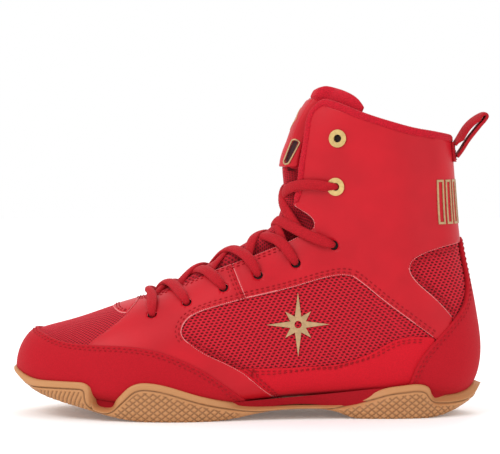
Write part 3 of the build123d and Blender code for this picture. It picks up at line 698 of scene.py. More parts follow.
def knit_material(name, colour, scale=1600):
    material, shader = new_material(name, colour, 0.8, Sheen_Weight=0.12, Sheen_Roughness=0.4,
                                    Specular_IOR_Level=0.2)
    shader.inputs["Sheen Tint"].default_value = (1.0, 0.4, 0.4, 1)
    yarn = scaled_noise(material, scale, 3)
    vary_colour(material, shader, yarn.outputs["Fac"], shade(colour, 0.72), shade(colour, 1.15))
    loops = scaled_noise(material, scale * 0.8, kind="ShaderNodeTexVoronoi")
    bump(material, shader, loops.outputs["Distance"], 0.6, 0.0004)
    return material


def rubber_material():
    material, shader = new_material("gum_rubber", GUM, 0.55, Specular_IOR_Level=0.4)
    broad = scaled_noise(material, 90, 3)
    painted_pit_shade = node(material, "ShaderNodeAttribute", attribute_name="painted_pit_shade")
    # painted shade: darker in the tread's grooves and the groove under the lip
    vary_colour(material, shader, painted_pit_shade.outputs["Fac"], GUM, shade(GUM, 0.42), (0.1, 0.9))
    vary_roughness(material, shader, broad.outputs["Fac"], 0.48, 0.62)
    fine = scaled_noise(material, 2500, 3)
    bump(material, shader, fine.outputs["Fac"], 0.12, 0.0002)
    return material


def metal_material(name, colour, roughness):
    material, shader = new_material(name, colour, roughness, Metallic=0.6)
    wear = scaled_noise(material, 400, 4)
    vary_colour(material, shader, wear.outputs["Fac"], shade(colour, 0.88), shade(colour, 1.1))
    vary_roughness(material, shader, wear.outputs["Fac"], roughness - 0.06, roughness + 0.1)
    return material


LEATHER_SKIN = leather_material()
SUEDE_SKIN = suede_material()
# A lighter copy of the suede: painted light standing in for fill light on the downward-facing
# midfoot.
MIDFOOT_SUEDE_LIT = suede_material("midfoot_suede_skin", shade(SUEDE_RED, 1.3))
RAW_EDGE = raw_edge_material()
# Each mesh cloth's second colour is painted shade at the bottom of its holes.
SIDE_MESH_CLOTH = mesh_material("side_mesh_cloth", shade(KNIT_RED, 1.10), shade(KNIT_RED, 0.26))
VAMP_MESH_CLOTH = mesh_material("vamp_mesh_cloth", shade(KNIT_RED, 1.0), shade(KNIT_RED, 0.22))
KNIT = knit_material("red_knit", KNIT_RED)
LINING_CLOTH = knit_material("red_lining", shade(KNIT_RED, 0.75), 900)
INSOLE_CLOTH = knit_material("insole_cloth", shade(KNIT_RED, 0.6), 1100)
THREAD = knit_material("red_thread", shade(RED, 0.78), 5000)
LACE_CLOTH = knit_material("lace_cloth", shade(RED, 0.92), 2400)
WEBBING = knit_material("webbing_cloth", shade(RED, 0.85), 2000)
RUBBER = rubber_material()
# near-black painted shade seen through the lace holes
HOLE_SHADE, _hole_shade_shader = new_material("hole_painted_shade", (0.012, 0.003, 0.004), 0.9)
GOLD_FILM = metal_material("gold_film", GOLD, 0.42)
BRASS = metal_material("brass", (0.60, 0.42, 0.16), 0.28)


# ------------------------------------------------------------------------ the panels
def place(x, z):
    u, q = locate(x, z)
    return float(u[0]), float(q[0])


HEEL_TOP_U = place(165.2, 166.4)[0]      # the collar at the back seam
WINDOW_TOP_U = place(170.8, 105.0)[0]    # the top of the heel window there
SOLE_Q = 1.9                             # out of sight under the foot
BACK_Q = 2.0                             # the back seam


def ovals(across, along, pitch_across, pitch_along, wide, tall):
    """1 in the middle of staggered oval holes, 0 on the yarn between them."""
    row = np.floor(across / pitch_across)
    shift = np.where(np.mod(row, 2) == 0, 0.0, 0.5 * pitch_along)
    a = across - (row + 0.5) * pitch_across
    b = np.mod(along + shift, pitch_along) - 0.5 * pitch_along
    radius = np.sqrt((a / wide) ** 2 + (b / tall) ** 2)
    return np.clip((1.15 - radius) / 0.5, 0, 1) ** 1.3


def side_pits(path):
    x, _, z = raised(path).T
    return ovals(z - 0.12 * x, x + 0.35 * z, 1.62, 3.1, 0.58, 1.12)


def vamp_pits(path):
    return ovals(path[:, 1] * 74.0, path[:, 0] * 440.0, 1.35, 2.7, 0.52, 0.95)


def pitted(pits, depth):
    """The relief of a mesh panel with pits, and the painted shade that darkens the pits."""
    return {"relief": lambda path, distance: -depth * pits(path),
            "values": lambda path, distance: {"painted_pit_shade": pits(path)}}


def seam_dips(depth, width, rows):
    """A relief that sinks where rows of stitches pull the panel down."""
    return lambda path, distance: -depth * sum(
        np.exp(-((distance - row) / width) ** 2) for row in rows)


LEATHER_ROWS, SUEDE_ROWS = (1.7, 3.6), (1.8, 3.6)    # rows of stitches from an edge
LEATHER_DIPS = seam_dips(0.16, 0.5, LEATHER_ROWS)
SUEDE_DIPS = seam_dips(0.14, 0.45, SUEDE_ROWS)


def around_hole(row, side, radius):
    """A small circle on the skin round a lace hole, as a path, and the hole's middle and
    outward direction."""
    u, q = place(*(HOLES + METAL)[row])
    centre = np.array([[u, -side * q]])
    along, round_it = slopes(centre)
    point, normal = raised(centre)[0], skin_normal(*centre.T)[0]
    first = along[0] / np.linalg.norm(along[0])
    second = np.cross(normal, first)
    basis = np.stack([along[0], round_it[0]], axis=1)
    ring = []
    for angle in circle_angles(20):
        move = (first * cos(angle) + second * sin(angle)) * radius
        step, *_ = np.linalg.lstsq(basis, move, rcond=None)
        ring.append(centre[0] + step)
    return np.array(ring), point, normal


def lace_holes(side, rows):
    return [around_hole(row, side, 2.9)[0] for row in rows]


def make_hole_shade_discs():
    """Near-black discs of painted shade under the lace holes, one behind each."""
    vertices, faces = [], []
    for _, side in sides():
        for row in range(len(HOLES + METAL)):
            radius, depth = (3.9, -2.3) if row < len(HOLES) else (3.4, -1.9)
            ring, point, normal = around_hole(row, side, radius)
            first, count = len(vertices), len(ring)
            vertices += [point + normal * depth, *raised(ring, depth)]
            faces += [[first, first + 1 + k, first + 1 + (k + 1) % count] for k in range(count)]
    mesh_piece("hole_shade_discs", np.array(vertices), faces, "boot", [HOLE_SHADE])


def make_forefoot_leather(name, side):
    """From the vamp seam to the window's nose and the strap, with the eyestay's front."""
    on = partial(flank, side=side)
    seam, nose, strap = on(VAMP_SEAM), on(WINDOW_NOSE), on(STRAP_EDGE)
    eyestay_front = on(EYESTAY[4:][::-1])
    under_guard = on([(-53.8, 47.4), (-60, 38), (-48, 37), (-24, 36), (-10, 33), (5, 26),
                      (18, 18), (26, 10), (36, 3)])
    border = np.vstack([seam[-1:], seam, under_guard, strap[::-1], nose, on(QUARTER_SEAM),
                        eyestay_front[::-1]])
    layer_piece("forefoot_leather_" + name, "leather", border, (LEATHER[0], LEATHER[1] + 0.1),
                LEATHER_SKIN, RAW_EDGE, 2.4, [strap, nose, eyestay_front], LEATHER_DIPS,
                tuck=0.4, holes=lace_holes(side, range(3)))


def make_quarter_leather(name, side):
    """The eyestay's back, throat, collar and back seam, round the two mesh windows."""
    on = partial(flank, side=side)
    quarter_seam, window = on(QUARTER_SEAM), on(HEEL_WINDOW)
    edge_up = on(EYESTAY[:5][::-1], NOTCH[::-1], THROAT[::-1])
    diagonal = on(WINDOW_TOP, WINDOW_DIAGONAL)
    below = on([(151.8, 48.4), (156.5, 44.5)], [(163.0, 50.0), (163.0, 61.1)])
    border = np.vstack([quarter_seam, edge_up, on(COLLAR),
                        level(HEEL_TOP_U, WINDOW_TOP_U, -side * BACK_Q), window[::-1],
                        below[::-1], diagonal[::-1]])
    layer_piece("quarter_leather_" + name, "leather", border, LEATHER, LEATHER_SKIN, RAW_EDGE,
                2.6, [window, diagonal, edge_up, quarter_seam], LEATHER_DIPS,
                holes=lace_holes(side, range(3, 8)))


def make_side_mesh(name, side):
    border = flank(
        [(-4, 52), (-2, 60), (8, 69), (22, 74), (36, 78), (71, 85), (97, 91), (106, 89.5)],
        [(106, 89.5), (148, 59)], [(156.5, 51), (156.5, 43.6)],
        [(140, 42.6), (126, 39.5), (108, 31), (95, 27.5), (77, 26), (40, 26), (20, 31),
         (5, 39), (-2, 46), (-4, 52)], side=side)
    layer_piece("side_mesh_" + name, "mesh", border, MESH, SIDE_MESH_CLOTH, None,
                finer(0.40), **pitted(side_pits, 0.75))


def make_midfoot_suede(name, side):
    """Below the side window, and under the strap."""
    on = partial(flank, side=side)
    floor = on(WINDOW_FLOOR)
    strap_under = on([(14.0, 38.0), (26.1, 30.6), (36.5, 22.4), (45.4, 12.5), (50, 5)])
    border = np.vstack([on([(22, 37.0), (32.2, 32.0)]), floor,
                        on([(151.8, 48.4), (153, 40)], [(150, 20), (149, 10)],
                           [(149, 10), (110, 5.5), (60, 3.5), (50, 4)]),
                        strap_under[::-1]])
    # its suede is the lighter copy, painted light for this lower, down-facing part
    layer_piece("midfoot_suede_" + name, "suede", border, (LEATHER[0], LEATHER[1] - 0.55),
                MIDFOOT_SUEDE_LIT, None, 2.4, [floor], roll=0.3)


def make_heel_mesh(name, side):
    border = np.vstack([
        flank([(165, 56), (157, 61.5), (146, 71), (135, 81), (131.5, 89), (133.5, 98),
               (141, 103.5), (155, 108.5), (169.5, 110.6)], side=side),
        level(place(170.2, 109.8)[0], place(178.0, 70.0)[0], -side * BACK_Q),
        flank([(177.0, 62.0), (172.0, 57.0), (165, 56)], side=side)])
    layer_piece("heel_mesh_" + name, "mesh", border, MESH, SIDE_MESH_CLOTH, None,
                finer(0.40), **pitted(side_pits, 0.75))


def make_leather_stitches(name, side):
    """Two rows along each edge that shows. Each edge comes with the side its leather is on."""
    on = partial(flank, side=side)
    rows = Stitches()
    for edge, sign in ((on(EYESTAY[1:]), 1), (on(WINDOW_TOP), 1), (on(WINDOW_NOSE)[::-1], -1),
                       (on(STRAP_EDGE), 1), (on(WINDOW_DIAGONAL), 1),
                       (on(HEEL_WINDOW)[:-2], -1), (on(QUARTER_SEAM), 1)):
        for offset in LEATHER_ROWS:
            rows.row(shifted(along_path(edge, 1.0), -side * sign * offset), LEATHER[1] + 0.02)
    for offset in (1.6, 3.4):
        floor = along_path(on(WINDOW_FLOOR)[6:-4], 1.0)
        rows.row(shifted(floor, side * offset), LEATHER[1] - 0.5)
    rows.piece("leather_stitches_" + name, "leather")


for side_name, side_sign in sides():
    for make in (make_forefoot_leather, make_quarter_leather, make_side_mesh,
                 make_midfoot_suede, make_heel_mesh, make_leather_stitches):
        make(side_name, side_sign)
make_hole_shade_discs()


# ------------------------------------------------------------------- toe and heel
def inner_row(line, offset, inside):
    """The line moved to the side where inside(x, z) holds for its middle point."""
    for sign in (1, -1):
        moved = shifted(along_path(line, 1.0), sign * offset)
        x, _, z = raised(moved[len(moved) // 2:][:1])[0]
        if inside(x, z):
            return moved


def make_vamp_mesh():
    """Under the toe guard and the forefoot leather."""
    edge = flank([(-95.4, 46.6), (-83, 42.3), (-71, 38.4), (-61, 36.8), (-50, 36),
                  (-38, 40), (-30, 49), (-24, 60), (-21, 70), (-21.5, 73.0)])
    layer_piece("vamp_mesh", "mesh", np.vstack([edge, mirrored(edge)]), (MESH[0], -1.1),
                VAMP_MESH_CLOTH, None, finer(0.5), **pitted(vamp_pits, 0.4))


def make_throat_base():
    """Across the top at the foot of the lacing."""
    front = flank(THROAT_BASE_FRONT)
    corner = flank([THROAT_BASE_FRONT[-1], (-26.6, 71.4)])
    border = np.vstack([front, corner, mirrored(corner), mirrored(front)])
    layer_piece("throat_base", "leather", border, LEATHER, LEATHER_SKIN, RAW_EDGE, 1.8,
                [np.vstack([mirrored(front), front])], LEATHER_DIPS)


def make_toe_guard():
    """Round the toe, from one arch to the other, with a cap over the very tip."""
    edge = flank(TOE_GUARD_EDGE)
    full_edge = np.vstack([mirrored(edge), edge[1:]])
    border = np.vstack([full_edge, level(edge[-1, 0], 0.0, SOLE_Q, 120),
                        girth(0.0, SOLE_Q, -SOLE_Q, 60)[1:-1],
                        level(0.0, edge[-1, 0], -SOLE_Q, 120)])
    layer_piece("toe_guard", "suede", border, (LEATHER[0], SUEDE[1]), SUEDE_SKIN, None, 2.6,
                [full_edge], SUEDE_DIPS, roll=0.55)
    tip = raised(girth(0.0, SOLE_Q, -SOLE_Q, 40), SUEDE[1] - 0.3)
    cap = mesh_piece("toe_guard_tip", np.vstack([tip, tip.mean(axis=0) - (0.5, 0, 0)]),
                     [[i + 1, i, len(tip)] for i in range(len(tip) - 1)], "boot", [SUEDE_SKIN])
    return full_edge


def make_heel_counter():
    """Round the back of the heel."""
    edge = flank(COUNTER_EDGE)
    other = mirrored_below(edge)
    bottom = girth(edge[0, 0], 4 - edge[0, 1], edge[0, 1], 40)
    full_edge = np.vstack([edge, other[1:]])
    layer_piece("heel_counter", "suede", np.vstack([edge, other, bottom[1:-1]]),
                (LEATHER[0], SUEDE[1]), SUEDE_SKIN, None, 2.6, [full_edge], SUEDE_DIPS,
                roll=0.55)
    return full_edge


def make_toe_and_heel():
    make_vamp_mesh()
    make_throat_base()
    guard_edge, counter_edge = make_toe_guard(), make_heel_counter()
    rows = Stitches()
    for offset in SUEDE_ROWS:
        for edge, inside in ((guard_edge, lambda x, z: x < -89.5),
                             (counter_edge, lambda x, z: z < 107)):
            rows.row(inner_row(edge, offset, inside)[4:-4], SUEDE[1] - 0.06)
    rows.piece("suede_stitches", "suede")
    front = flank(THROAT_BASE_FRONT)
    rows = Stitches()
    for offset in (1.6, 3.2):
        line = np.vstack([mirrored(front), front[1:]])
        rows.row(inner_row(line, offset, lambda x, z: x > -43), LEATHER[1])
    rows.piece("throat_base_stitches", "leather")


make_toe_and_heel()


# -------------------------------------------------------------------------- lining
def make_lining(name, side):
    start, toe_u = place(-23.0, 72.5)[0], 0.03
    edge = flank([(-22.0, 72.6), (-16.7, 73.2)], EYESTAY[:-1][::-1], NOTCH[::-1], THROAT[::-1],
                 COLLAR, side=side)
    border = np.vstack([level(toe_u, start, 0.0, 40), edge,
                        level(HEEL_TOP_U, toe_u, -side * BACK_Q, 160),
                        girth(toe_u, -side * BACK_Q, 0.0, 30)[1:-1]])
    layer_piece("lining_" + name, "lining", border, LINING, LINING_CLOTH, None, 3.2)


for side_name, side_sign in sides():
    make_lining(side_name, side_sign)


# ------------------------------------------------------------------------- outsole
PLAN_LATERAL = [(-103.2, 6.0), (-100.4, -12.0), (-93.0, -23.2), (-78.0, -33.2),
                (-58.0, -41.2), (-30.0, -48.4), (-8.0, -50.2), (15.0, -47.8), (45.0, -40.4),
                (80.0, -35.0), (115.0, -34.0), (140.0, -32.4), (158.0, -26.4),
                (172.0, -16.4), (180.0, -8.0), (183.2, 0.0)]
PLAN_MEDIAL = [(183.2, 0.0), (180.0, 8.0), (172.0, 16.4), (158.0, 26.4), (140.0, 32.2),
               (115.0, 33.0), (80.0, 30.6), (52.0, 31.6), (25.0, 38.6), (-5.0, 45.4),
               (-35.0, 48.2), (-58.0, 45.6), (-78.0, 40.2), (-93.0, 32.8),
               (-100.4, 23.0), (-103.2, 6.0)]
RUBBER_TOP = [(-104.0, 29.4), (-98.9, 25.9), (-91.7, 23.2), (-81.8, 22.6), (-62.9, 22.6),
              (-56.9, 21.6), (-54.6, 19.4), (-53.6, 15.5), (-52.6, 11.4), (-49.6, 9.4),
              (-43.5, 9.0), (-40.2, 11.6), (-35.8, 15.7), (-29.8, 20.9), (-23.8, 22.9),
              (-17.9, 22.9), (-6.1, 20.6), (11.6, 15.2), (29.4, 11.2), (41.2, 9.6),
              (71.0, 9.6), (92.0, 10.6), (101.0, 12.2), (112.9, 14.9), (125.0, 18.3),
              (134.0, 19.5), (147.8, 19.2), (150.6, 17.4), (153.4, 13.8), (158.6, 12.4),
              (168.4, 12.8), (175.0, 14.4), (180.5, 17.6), (185.0, 20.8)]
TREAD_LINE = [(-104.0, 27.0), (-94.8, 19.6), (-85.0, 14.4), (-72.4, 10.4), (-56.8, 6.6),
              (-47.7, 4.2), (-35.7, 1.6), (-20.0, 0.0), (19.0, 0.0), (29.3, 0.9), (41.2, 3.1),
              (59.0, 5.6), (77.0, 6.1), (95.0, 3.6), (101.0, 1.2), (107.0, 0.0), (149.0, 0.0),
              (161.6, 2.6), (171.5, 7.0), (178.5, 11.6), (182.6, 17.0), (185.0, 19.0)]
LIP_DEPTH = 3.7                          # from the rubber's edge to the groove under it


def form_tree(height):
    """A search tree of the form's skin at a height, in millimetres."""
    u, q = np.meshgrid(np.linspace(0, 1, 260), np.linspace(-2, 2, 161), indexing="ij")
    points = (skin(u, q) + skin_normal(u, q) * height).reshape(-1, 3)
    rows, across = u.shape
    faces = [(i * across + j, i * across + j + 1, (i + 1) * across + j + 1, (i + 1) * across + j)
             for i in range(rows - 1) for j in range(across - 1)]
    return BVHTree.FromPolygons([Vector(p) for p in points], faces)


def line_gap(points, line):
    """Distance in the side view from points to a line."""
    flat = np.stack([points[:, 0], np.zeros(len(points)), points[:, 1]], axis=1)
    return line_distance(flat, [np.stack([line[:, 0], np.zeros(len(line)), line[:, 1]], axis=1)])


def groove(phase, width):
    """1 in the middle of a groove of the given width, for a phase of one pitch per unit."""
    nearest = np.abs(np.mod(phase + 0.5, 1.0) - 0.5)
    return np.clip(1 - nearest / width, 0, 1)


def plan_loop(spacing):
    """Points round the outsole's plan, how far round each is, and outward directions."""
    plan = np.vstack([smooth_line(PLAN_LATERAL, 0.5), smooth_line(PLAN_MEDIAL, 0.5)[1:-1]])
    plan = np.vstack([plan, plan[:1]])
    at, perimeter = resampled(plan, spacing)
    x, y = read_rows(plan, at[:-1]).T
    reach = np.linspace(0, perimeter, len(x), endpoint=False)
    tangent = unit(np.stack([np.roll(x, -1) - np.roll(x, 1), np.roll(y, -1) - np.roll(y, 1)],
                            axis=1))
    outward = np.stack([tangent[:, 1], -tangent[:, 0]], axis=1)
    if (outward[:, 1] * y).sum() < 0:
        outward = -outward
    for _ in range(12):
        outward = (outward + np.roll(outward, 1, axis=0) + np.roll(outward, -1, axis=0)) / 3
    return x, y, reach, unit(outward)


def seat_offsets(x, y, z, outward):
    """How far outside the plan the upper's skin is at each point of the rubber's edge."""
    tree, start_out, missed, just_under, lowest = form_tree(0.75), 30, -3.0, 0.6, 9.6
    seat = np.full(len(x), missed)
    for i in range(len(x)):
        way = Vector((-outward[i, 0], -outward[i, 1], 0))
        start = Vector((x[i], y[i], max(z[i] - just_under, lowest))) - way * start_out
        hit = tree.ray_cast(start, way, 2 * start_out)
        if hit[0] is not None:
            seat[i] = start_out - hit[3]
    for _ in range(6):
        seat = (np.roll(seat, 1) + seat + np.roll(seat, -1)) / 3
    return seat


def outsole_wall(x, y, reach, top_z, low_z, from_top, z, seat):
    """Offsets of the wall from the plan, and the painted shade of each point, by how deep in a
    groove it is.
    """
    height = top_z - low_z
    # out to the lip at the top, in to the bulge below it and round under at the tread
    lip_out = np.minimum(seat + 1.9, 0.4)
    bulge = np.minimum(np.maximum(seat + 3.2, -0.2), 0.0)
    down = eased(np.clip(from_top / np.minimum(9.0, 0.7 * height), 0, 1))
    out = lip_out + (bulge - lip_out) * down
    out = out - 2.6 * np.clip(1 - (z - low_z) / np.minimum(5.0, 0.55 * height), 0, 1) ** 2
    # the rolled lip, the groove under it and the pattern below
    lip = np.clip((LIP_DEPTH - from_top) / 0.5, 0, 1)
    out = out + 0.55 * lip - 0.8 * np.clip(1 - from_top / 0.9, 0, 1) ** 2
    under_lip = np.clip(1 - np.abs(from_top - LIP_DEPTH - 0.35) / 0.6, 0, 1)
    out = out - 0.9 * under_lip
    below = np.clip((from_top - LIP_DEPTH - 1.6) / 0.6, 0, 1)
    signed = np.where(y < 0, reach, -reach)
    diamonds = np.maximum(*(groove((signed * 0.80 + lean * z) / 3.9, 0.22)
                            for lean in (1.05, -1.05)))
    ribs = groove((signed - z * 0.45) / 2.9, 0.30)
    toe = np.clip((-52 - x) / 4, 0, 1)
    waist = np.clip((height - 6.5) / 3, 0, 1)
    pattern = np.maximum(diamonds * (1 - toe) * waist, ribs * toe) * below
    # painted shade, darkest in the pattern's grooves and in the groove under the lip
    painted_pit_shade = np.maximum(pattern * 0.8, under_lip * np.clip(height / 5.0, 0, 1))
    return out - 0.95 * pattern, painted_pit_shade


def outsole_tread(edge, x, low_line):
    """Rings from the foot of the wall in to the centre line, with crossed grooves, and the
    painted shade of each point, by how deep in a groove it is."""
    centre_x = np.clip(x, -84, 166)
    centre_y = sum(np.interp(centre_x, line[:, 0], line[:, 1]) for line in
                   (smooth_line(PLAN_LATERAL, 1), smooth_line(PLAN_MEDIAL, 1)[::-1])) / 2
    rings, pits = [], []
    steps = finer(44)
    for k in range(1, steps + 1):
        ring_x = edge[:, 0] + (centre_x - edge[:, 0]) * k / steps
        ring_y = edge[:, 1] + (centre_y - edge[:, 1]) * k / steps
        base = np.interp(ring_x, low_line[:, 0], low_line[:, 1])
        inside = np.minimum(np.hypot(ring_x - edge[:, 0], ring_y - edge[:, 1]) / 3.0, 1)
        cuts = inside * np.maximum(groove((ring_x + ring_y) / 7.0, 0.16),
                                   groove((ring_x - ring_y) / 7.0, 0.16))
        rings.append(np.stack([ring_x, ring_y, base + 0.9 * cuts], axis=1))
        # painted shade in the crossed grooves
        pits.append(cuts * 0.8)
    return rings, pits


def make_outsole():
    """One rubber cup: tread, patterned wall, rolled lip and a rim in under the upper."""
    x, y, reach, outward = plan_loop(finer(0.55))
    top_line, low_line = smooth_line(RUBBER_TOP, 0.5), smooth_line(TREAD_LINE, 0.8)
    top_z = np.interp(x, top_line[:, 0], top_line[:, 1])
    low_z = np.interp(x, low_line[:, 0], low_line[:, 1])
    seat = seat_offsets(x, y, top_z, outward)
    z = low_z + (top_z - low_z) * np.linspace(0, 1, finer(40))[:, None]
    side_points = np.stack([np.broadcast_to(x, z.shape).ravel(), z.ravel()], axis=1)
    from_top = line_gap(side_points, top_line).reshape(z.shape)
    out, wall_pit_shade = outsole_wall(x, y, reach, top_z, low_z, from_top, z, seat)

    def ring_at(offset, height):
        return np.stack([x + outward[:, 0] * offset, y + outward[:, 1] * offset, height], axis=1)

    wall = [ring_at(*row) for row in zip(out, z)]
    rim = [ring_at(out[-1] - inward, top_z + rise) for inward, rise in
           ((0.5, 0.225), (1.1, 0.18), (2.4, -0.1), (4.2, -0.9), (5.0, -2.0))]
    tread, tread_pit_shade = outsole_tread(wall[0], x, low_line)
    rings = tread[::-1] + wall + rim
    points = np.vstack(rings)
    points[:, 2] = np.maximum(points[:, 2], 0.02)
    # painted shade of the grooves, none on the rim
    painted_pit_shade = np.concatenate(tread_pit_shade[::-1] + list(wall_pit_shade) + [0 * x for _ in rim])
    count = len(x)
    faces = tube_faces(len(rings), count)
    quarter_way = count // 4
    a, b, c = points[faces[len(tread) * count + quarter_way][:3]]
    if np.cross(b - a, c - b)[:2] @ outward[quarter_way] < 0:
        faces = [face[::-1] for face in faces]
    stand_in(mesh_piece("outsole", points, faces, "boot", [RUBBER], values={"painted_pit_shade": painted_pit_shade}),
             "outsole")


make_outsole()


# ---------------------------------------------------------------------------- lace
# The route goes through the same holes as the CAD lace, with tighter turns
GATES = [(-17.5, 72.6), (-4.5, 78.0), (16.0, 86.8), (39.6, 96.4), (61.0, 104.9), (71.8, 111.2),
         (71.8, 141.0)]
CENTRES = [-21.5, -10.0, 9.0, 28.5, 46.5, 57.6]
ANKLE_CROSSING = (60.4, 134.0)
OVER, AT_HOLE, UNDER, METAL_UNDER = 2.5, 2.6, -6.3, -8.4     # heights above the skin
ENTRY_OFFSET = 1.1                       # from a hole's middle towards the edge
TAIL = [(99.0, 130.0), (100.5, 116.0), (100.5, 102.0)]
LOW_CROSSING, HIGH_CROSSING = 1.2, 3.7


def seen_at(x, z, side, height):
    """The point at a height over the skin's side-view point, and the normal there."""
    u, q = locate(x, z)
    path = np.stack([u, -side * q], axis=1)
    return raised(path, height)[0], skin_normal(*path.T)[0]


def on_top(x, height):
    """The point height above the top line at x."""
    u = np.linspace(0, 1, 3000)
    line = skin(u, 0 * u)
    first = int(np.argmax(line[:, 0] > x))
    share = (x - line[first - 1, 0]) / (line[first, 0] - line[first - 1, 0])
    at = u[first - 1] + share * (u[1] - u[0])
    return skin(at, 0.0) + skin_normal(at, 0.0) * height


def beside_gate(row, side):
    """Just inside the eyestay edge, a little below the skin."""
    inward, deep, far = 4.4, 1.8, 30
    point, normal = seen_at(*GATES[row], side, 0)
    moved = point + np.array([0, -inward * side, 0])
    hit = SKIN_TREE.ray_cast(Vector(moved + normal * far), Vector(-normal), 2 * far)
    return np.array(hit[0]) - normal * deep


def half_route(side, crossing_height):
    """One end's way up: over the edge, in at a hole, back out inside the edge and across
    to the other side, row by row, then in at the metal eyelet and down inside."""
    points = [seen_at(*GATES[0], side, OVER)[0]]
    for row, (x, z) in enumerate(HOLES):
        hole, normal = seen_at(x, z, side, 0)
        gate = seen_at(*GATES[row], side, 0)[0]
        hole = hole + unit(gate - hole) * ENTRY_OFFSET
        x, z = (np.array([x, z]) + GATES[row]) / 2
        points += [hole + normal * AT_HOLE, hole + normal * UNDER,
                   seen_at(x, z, side, UNDER)[0], seen_at(*GATES[row], side, UNDER)[0],
                   beside_gate(row, side)]
        if row + 1 < len(HOLES):
            points.append(on_top(CENTRES[row + 1], crossing_height))
        else:
            x, z = ANKLE_CROSSING
            points.append(np.array([x - crossing_height, 0, z]))
        side = -side
        points.append(seen_at(*GATES[row + 1], side, OVER)[0])
    hole, normal = seen_at(*METAL[0], side, 0)
    points += [hole + normal * AT_HOLE, hole + normal * METAL_UNDER]
    points += [seen_at(x, z, side, METAL_UNDER)[0] for x, z in TAIL]
    return points


SKIN_TREE = form_tree(0.0)


def spline_points(controls):
    """Points of the smooth NURBS line that has these control points, in millimetres."""
    curve = bpy.data.curves.new("lace_line", "CURVE")
    curve.dimensions = "3D"
    spline = curve.splines.new("NURBS")
    spline.points.add(len(controls) - 1)
    for target, source in zip(spline.points, controls):
        target.co = (*(np.asarray(source) * MM), 1)
    spline.order_u, spline.use_endpoint_u, spline.resolution_u = 3, True, 10
    line = bpy.data.objects.new("lace_line", curve)
    mesh = bpy.data.meshes.new_from_object(line)
    points = np.array([tuple(v.co) for v in mesh.vertices]) / MM
    bpy.data.objects.remove(line)
    bpy.data.meshes.remove(mesh)
    return points


def frames_along(points, away):
    """Tangents, and the flat side's direction: away from the boot, with no twists."""
    tangent = unit(np.gradient(points, axis=0))
    flat = np.zeros_like(points)
    current = away[0]
    for i in range(len(points)):
        t = tangent[i]
        current = unit(current - t * (current @ t))
        goal = away[i] - t * (away[i] @ t)
        strength = np.linalg.norm(goal)
        if strength > 1e-3:
            goal = goal / strength
            if goal @ current < 0:
                goal = -goal
            current = unit(current + goal * 0.16 * strength ** 2)
        flat[i] = current
    for _ in range(3):
        flat[1:-1] = (flat[:-2] + flat[1:-1] + flat[2:]) / 3
    return tangent, unit(flat - tangent * (flat * tangent).sum(axis=1, keepdims=True))


def make_lace():
    low = half_route(LATERAL, LOW_CROSSING)
    high = half_route(MEDIAL, HIGH_CROSSING)
    start = on_top(CENTRES[0], OVER)
    raw = spline_points([*low[::-1], start, *high])
    at, length = resampled(raw, finer(0.55))
    points = read_rows(raw, at)
    nearest = [SKIN_TREE.find_nearest(Vector(p)) for p in points]
    on_skin, away, gap = (np.array([tuple(hit[0]) for hit in nearest]),
                          np.array([tuple(hit[1]) for hit in nearest]),
                          np.array([hit[3] for hit in nearest]))
    tangent, flat = frames_along(points, away)
    across = np.cross(tangent, flat)
    # squeezed in the holes, thinner inside the boot, and pulled round in the first bar
    holes = np.array([seen_at(x, z, side, -1.3)[0]
                      for x, z in HOLES + METAL[:1] for side in (LATERAL, MEDIAL)])
    to_hole = np.sqrt(((points[:, None, :] - holes) ** 2).sum(axis=2)).min(axis=1)
    squeeze = np.exp(-(to_hole / 5.2) ** 2)
    height = gap * np.sign(((points - on_skin) * away).sum(axis=1))
    under = np.clip((-1.0 - height) / 3, 0, 1)
    bar = np.exp(-(np.linalg.norm(points - start, axis=1) / 13.0) ** 4)
    wide = 3.3 - 1.15 * squeeze - 0.6 * under - 1.15 * bar
    thick = 1.55 + 0.45 * squeeze - 0.1 * under + 0.5 * bar
    # braided cover: diagonal ridges both ways round the tube
    angle = circle_angles(20)
    turns = 2 * pi * np.linspace(0, length, len(points))[:, None] / 1.9
    ridge = 0.055 * (np.cos(turns + 4 * angle) + np.cos(turns - 4 * angle))
    squared = np.sign(np.cos(angle)) * np.abs(np.cos(angle)) ** 0.85
    rings = (points[:, None, :]
             + across[:, None, :] * (squared * wide[:, None] + np.cos(angle) * ridge)[..., None]
             + flat[:, None, :] * (np.sin(angle) * (thick[:, None] + ridge))[..., None])
    faces = tube_faces(len(points), len(angle), ends=True)
    lace = mesh_piece("lace", rings.reshape(-1, 3), faces, "boot", [LACE_CLOTH])
    stand_in(lace, "lace")


make_lace()


# ------------------------------------------------------------------ swept soft parts
def sweep(node, centres, outward, across, profile, material, body="boot"):
    """A closed tube that stands in for a node. profile(i) gives the (outward, across)
    offsets of the ring round centre i as an array."""
    rings = []
    for i, centre in enumerate(centres):
        offsets = profile(i)
        rings.append(centre + outward[i] * offsets[:, :1] + across[i] * offsets[:, 1:])
    faces = tube_faces(len(rings), len(rings[0]), ends=True)
    return stand_in(mesh_piece(node, np.vstack(rings), faces, body, [material]), node)


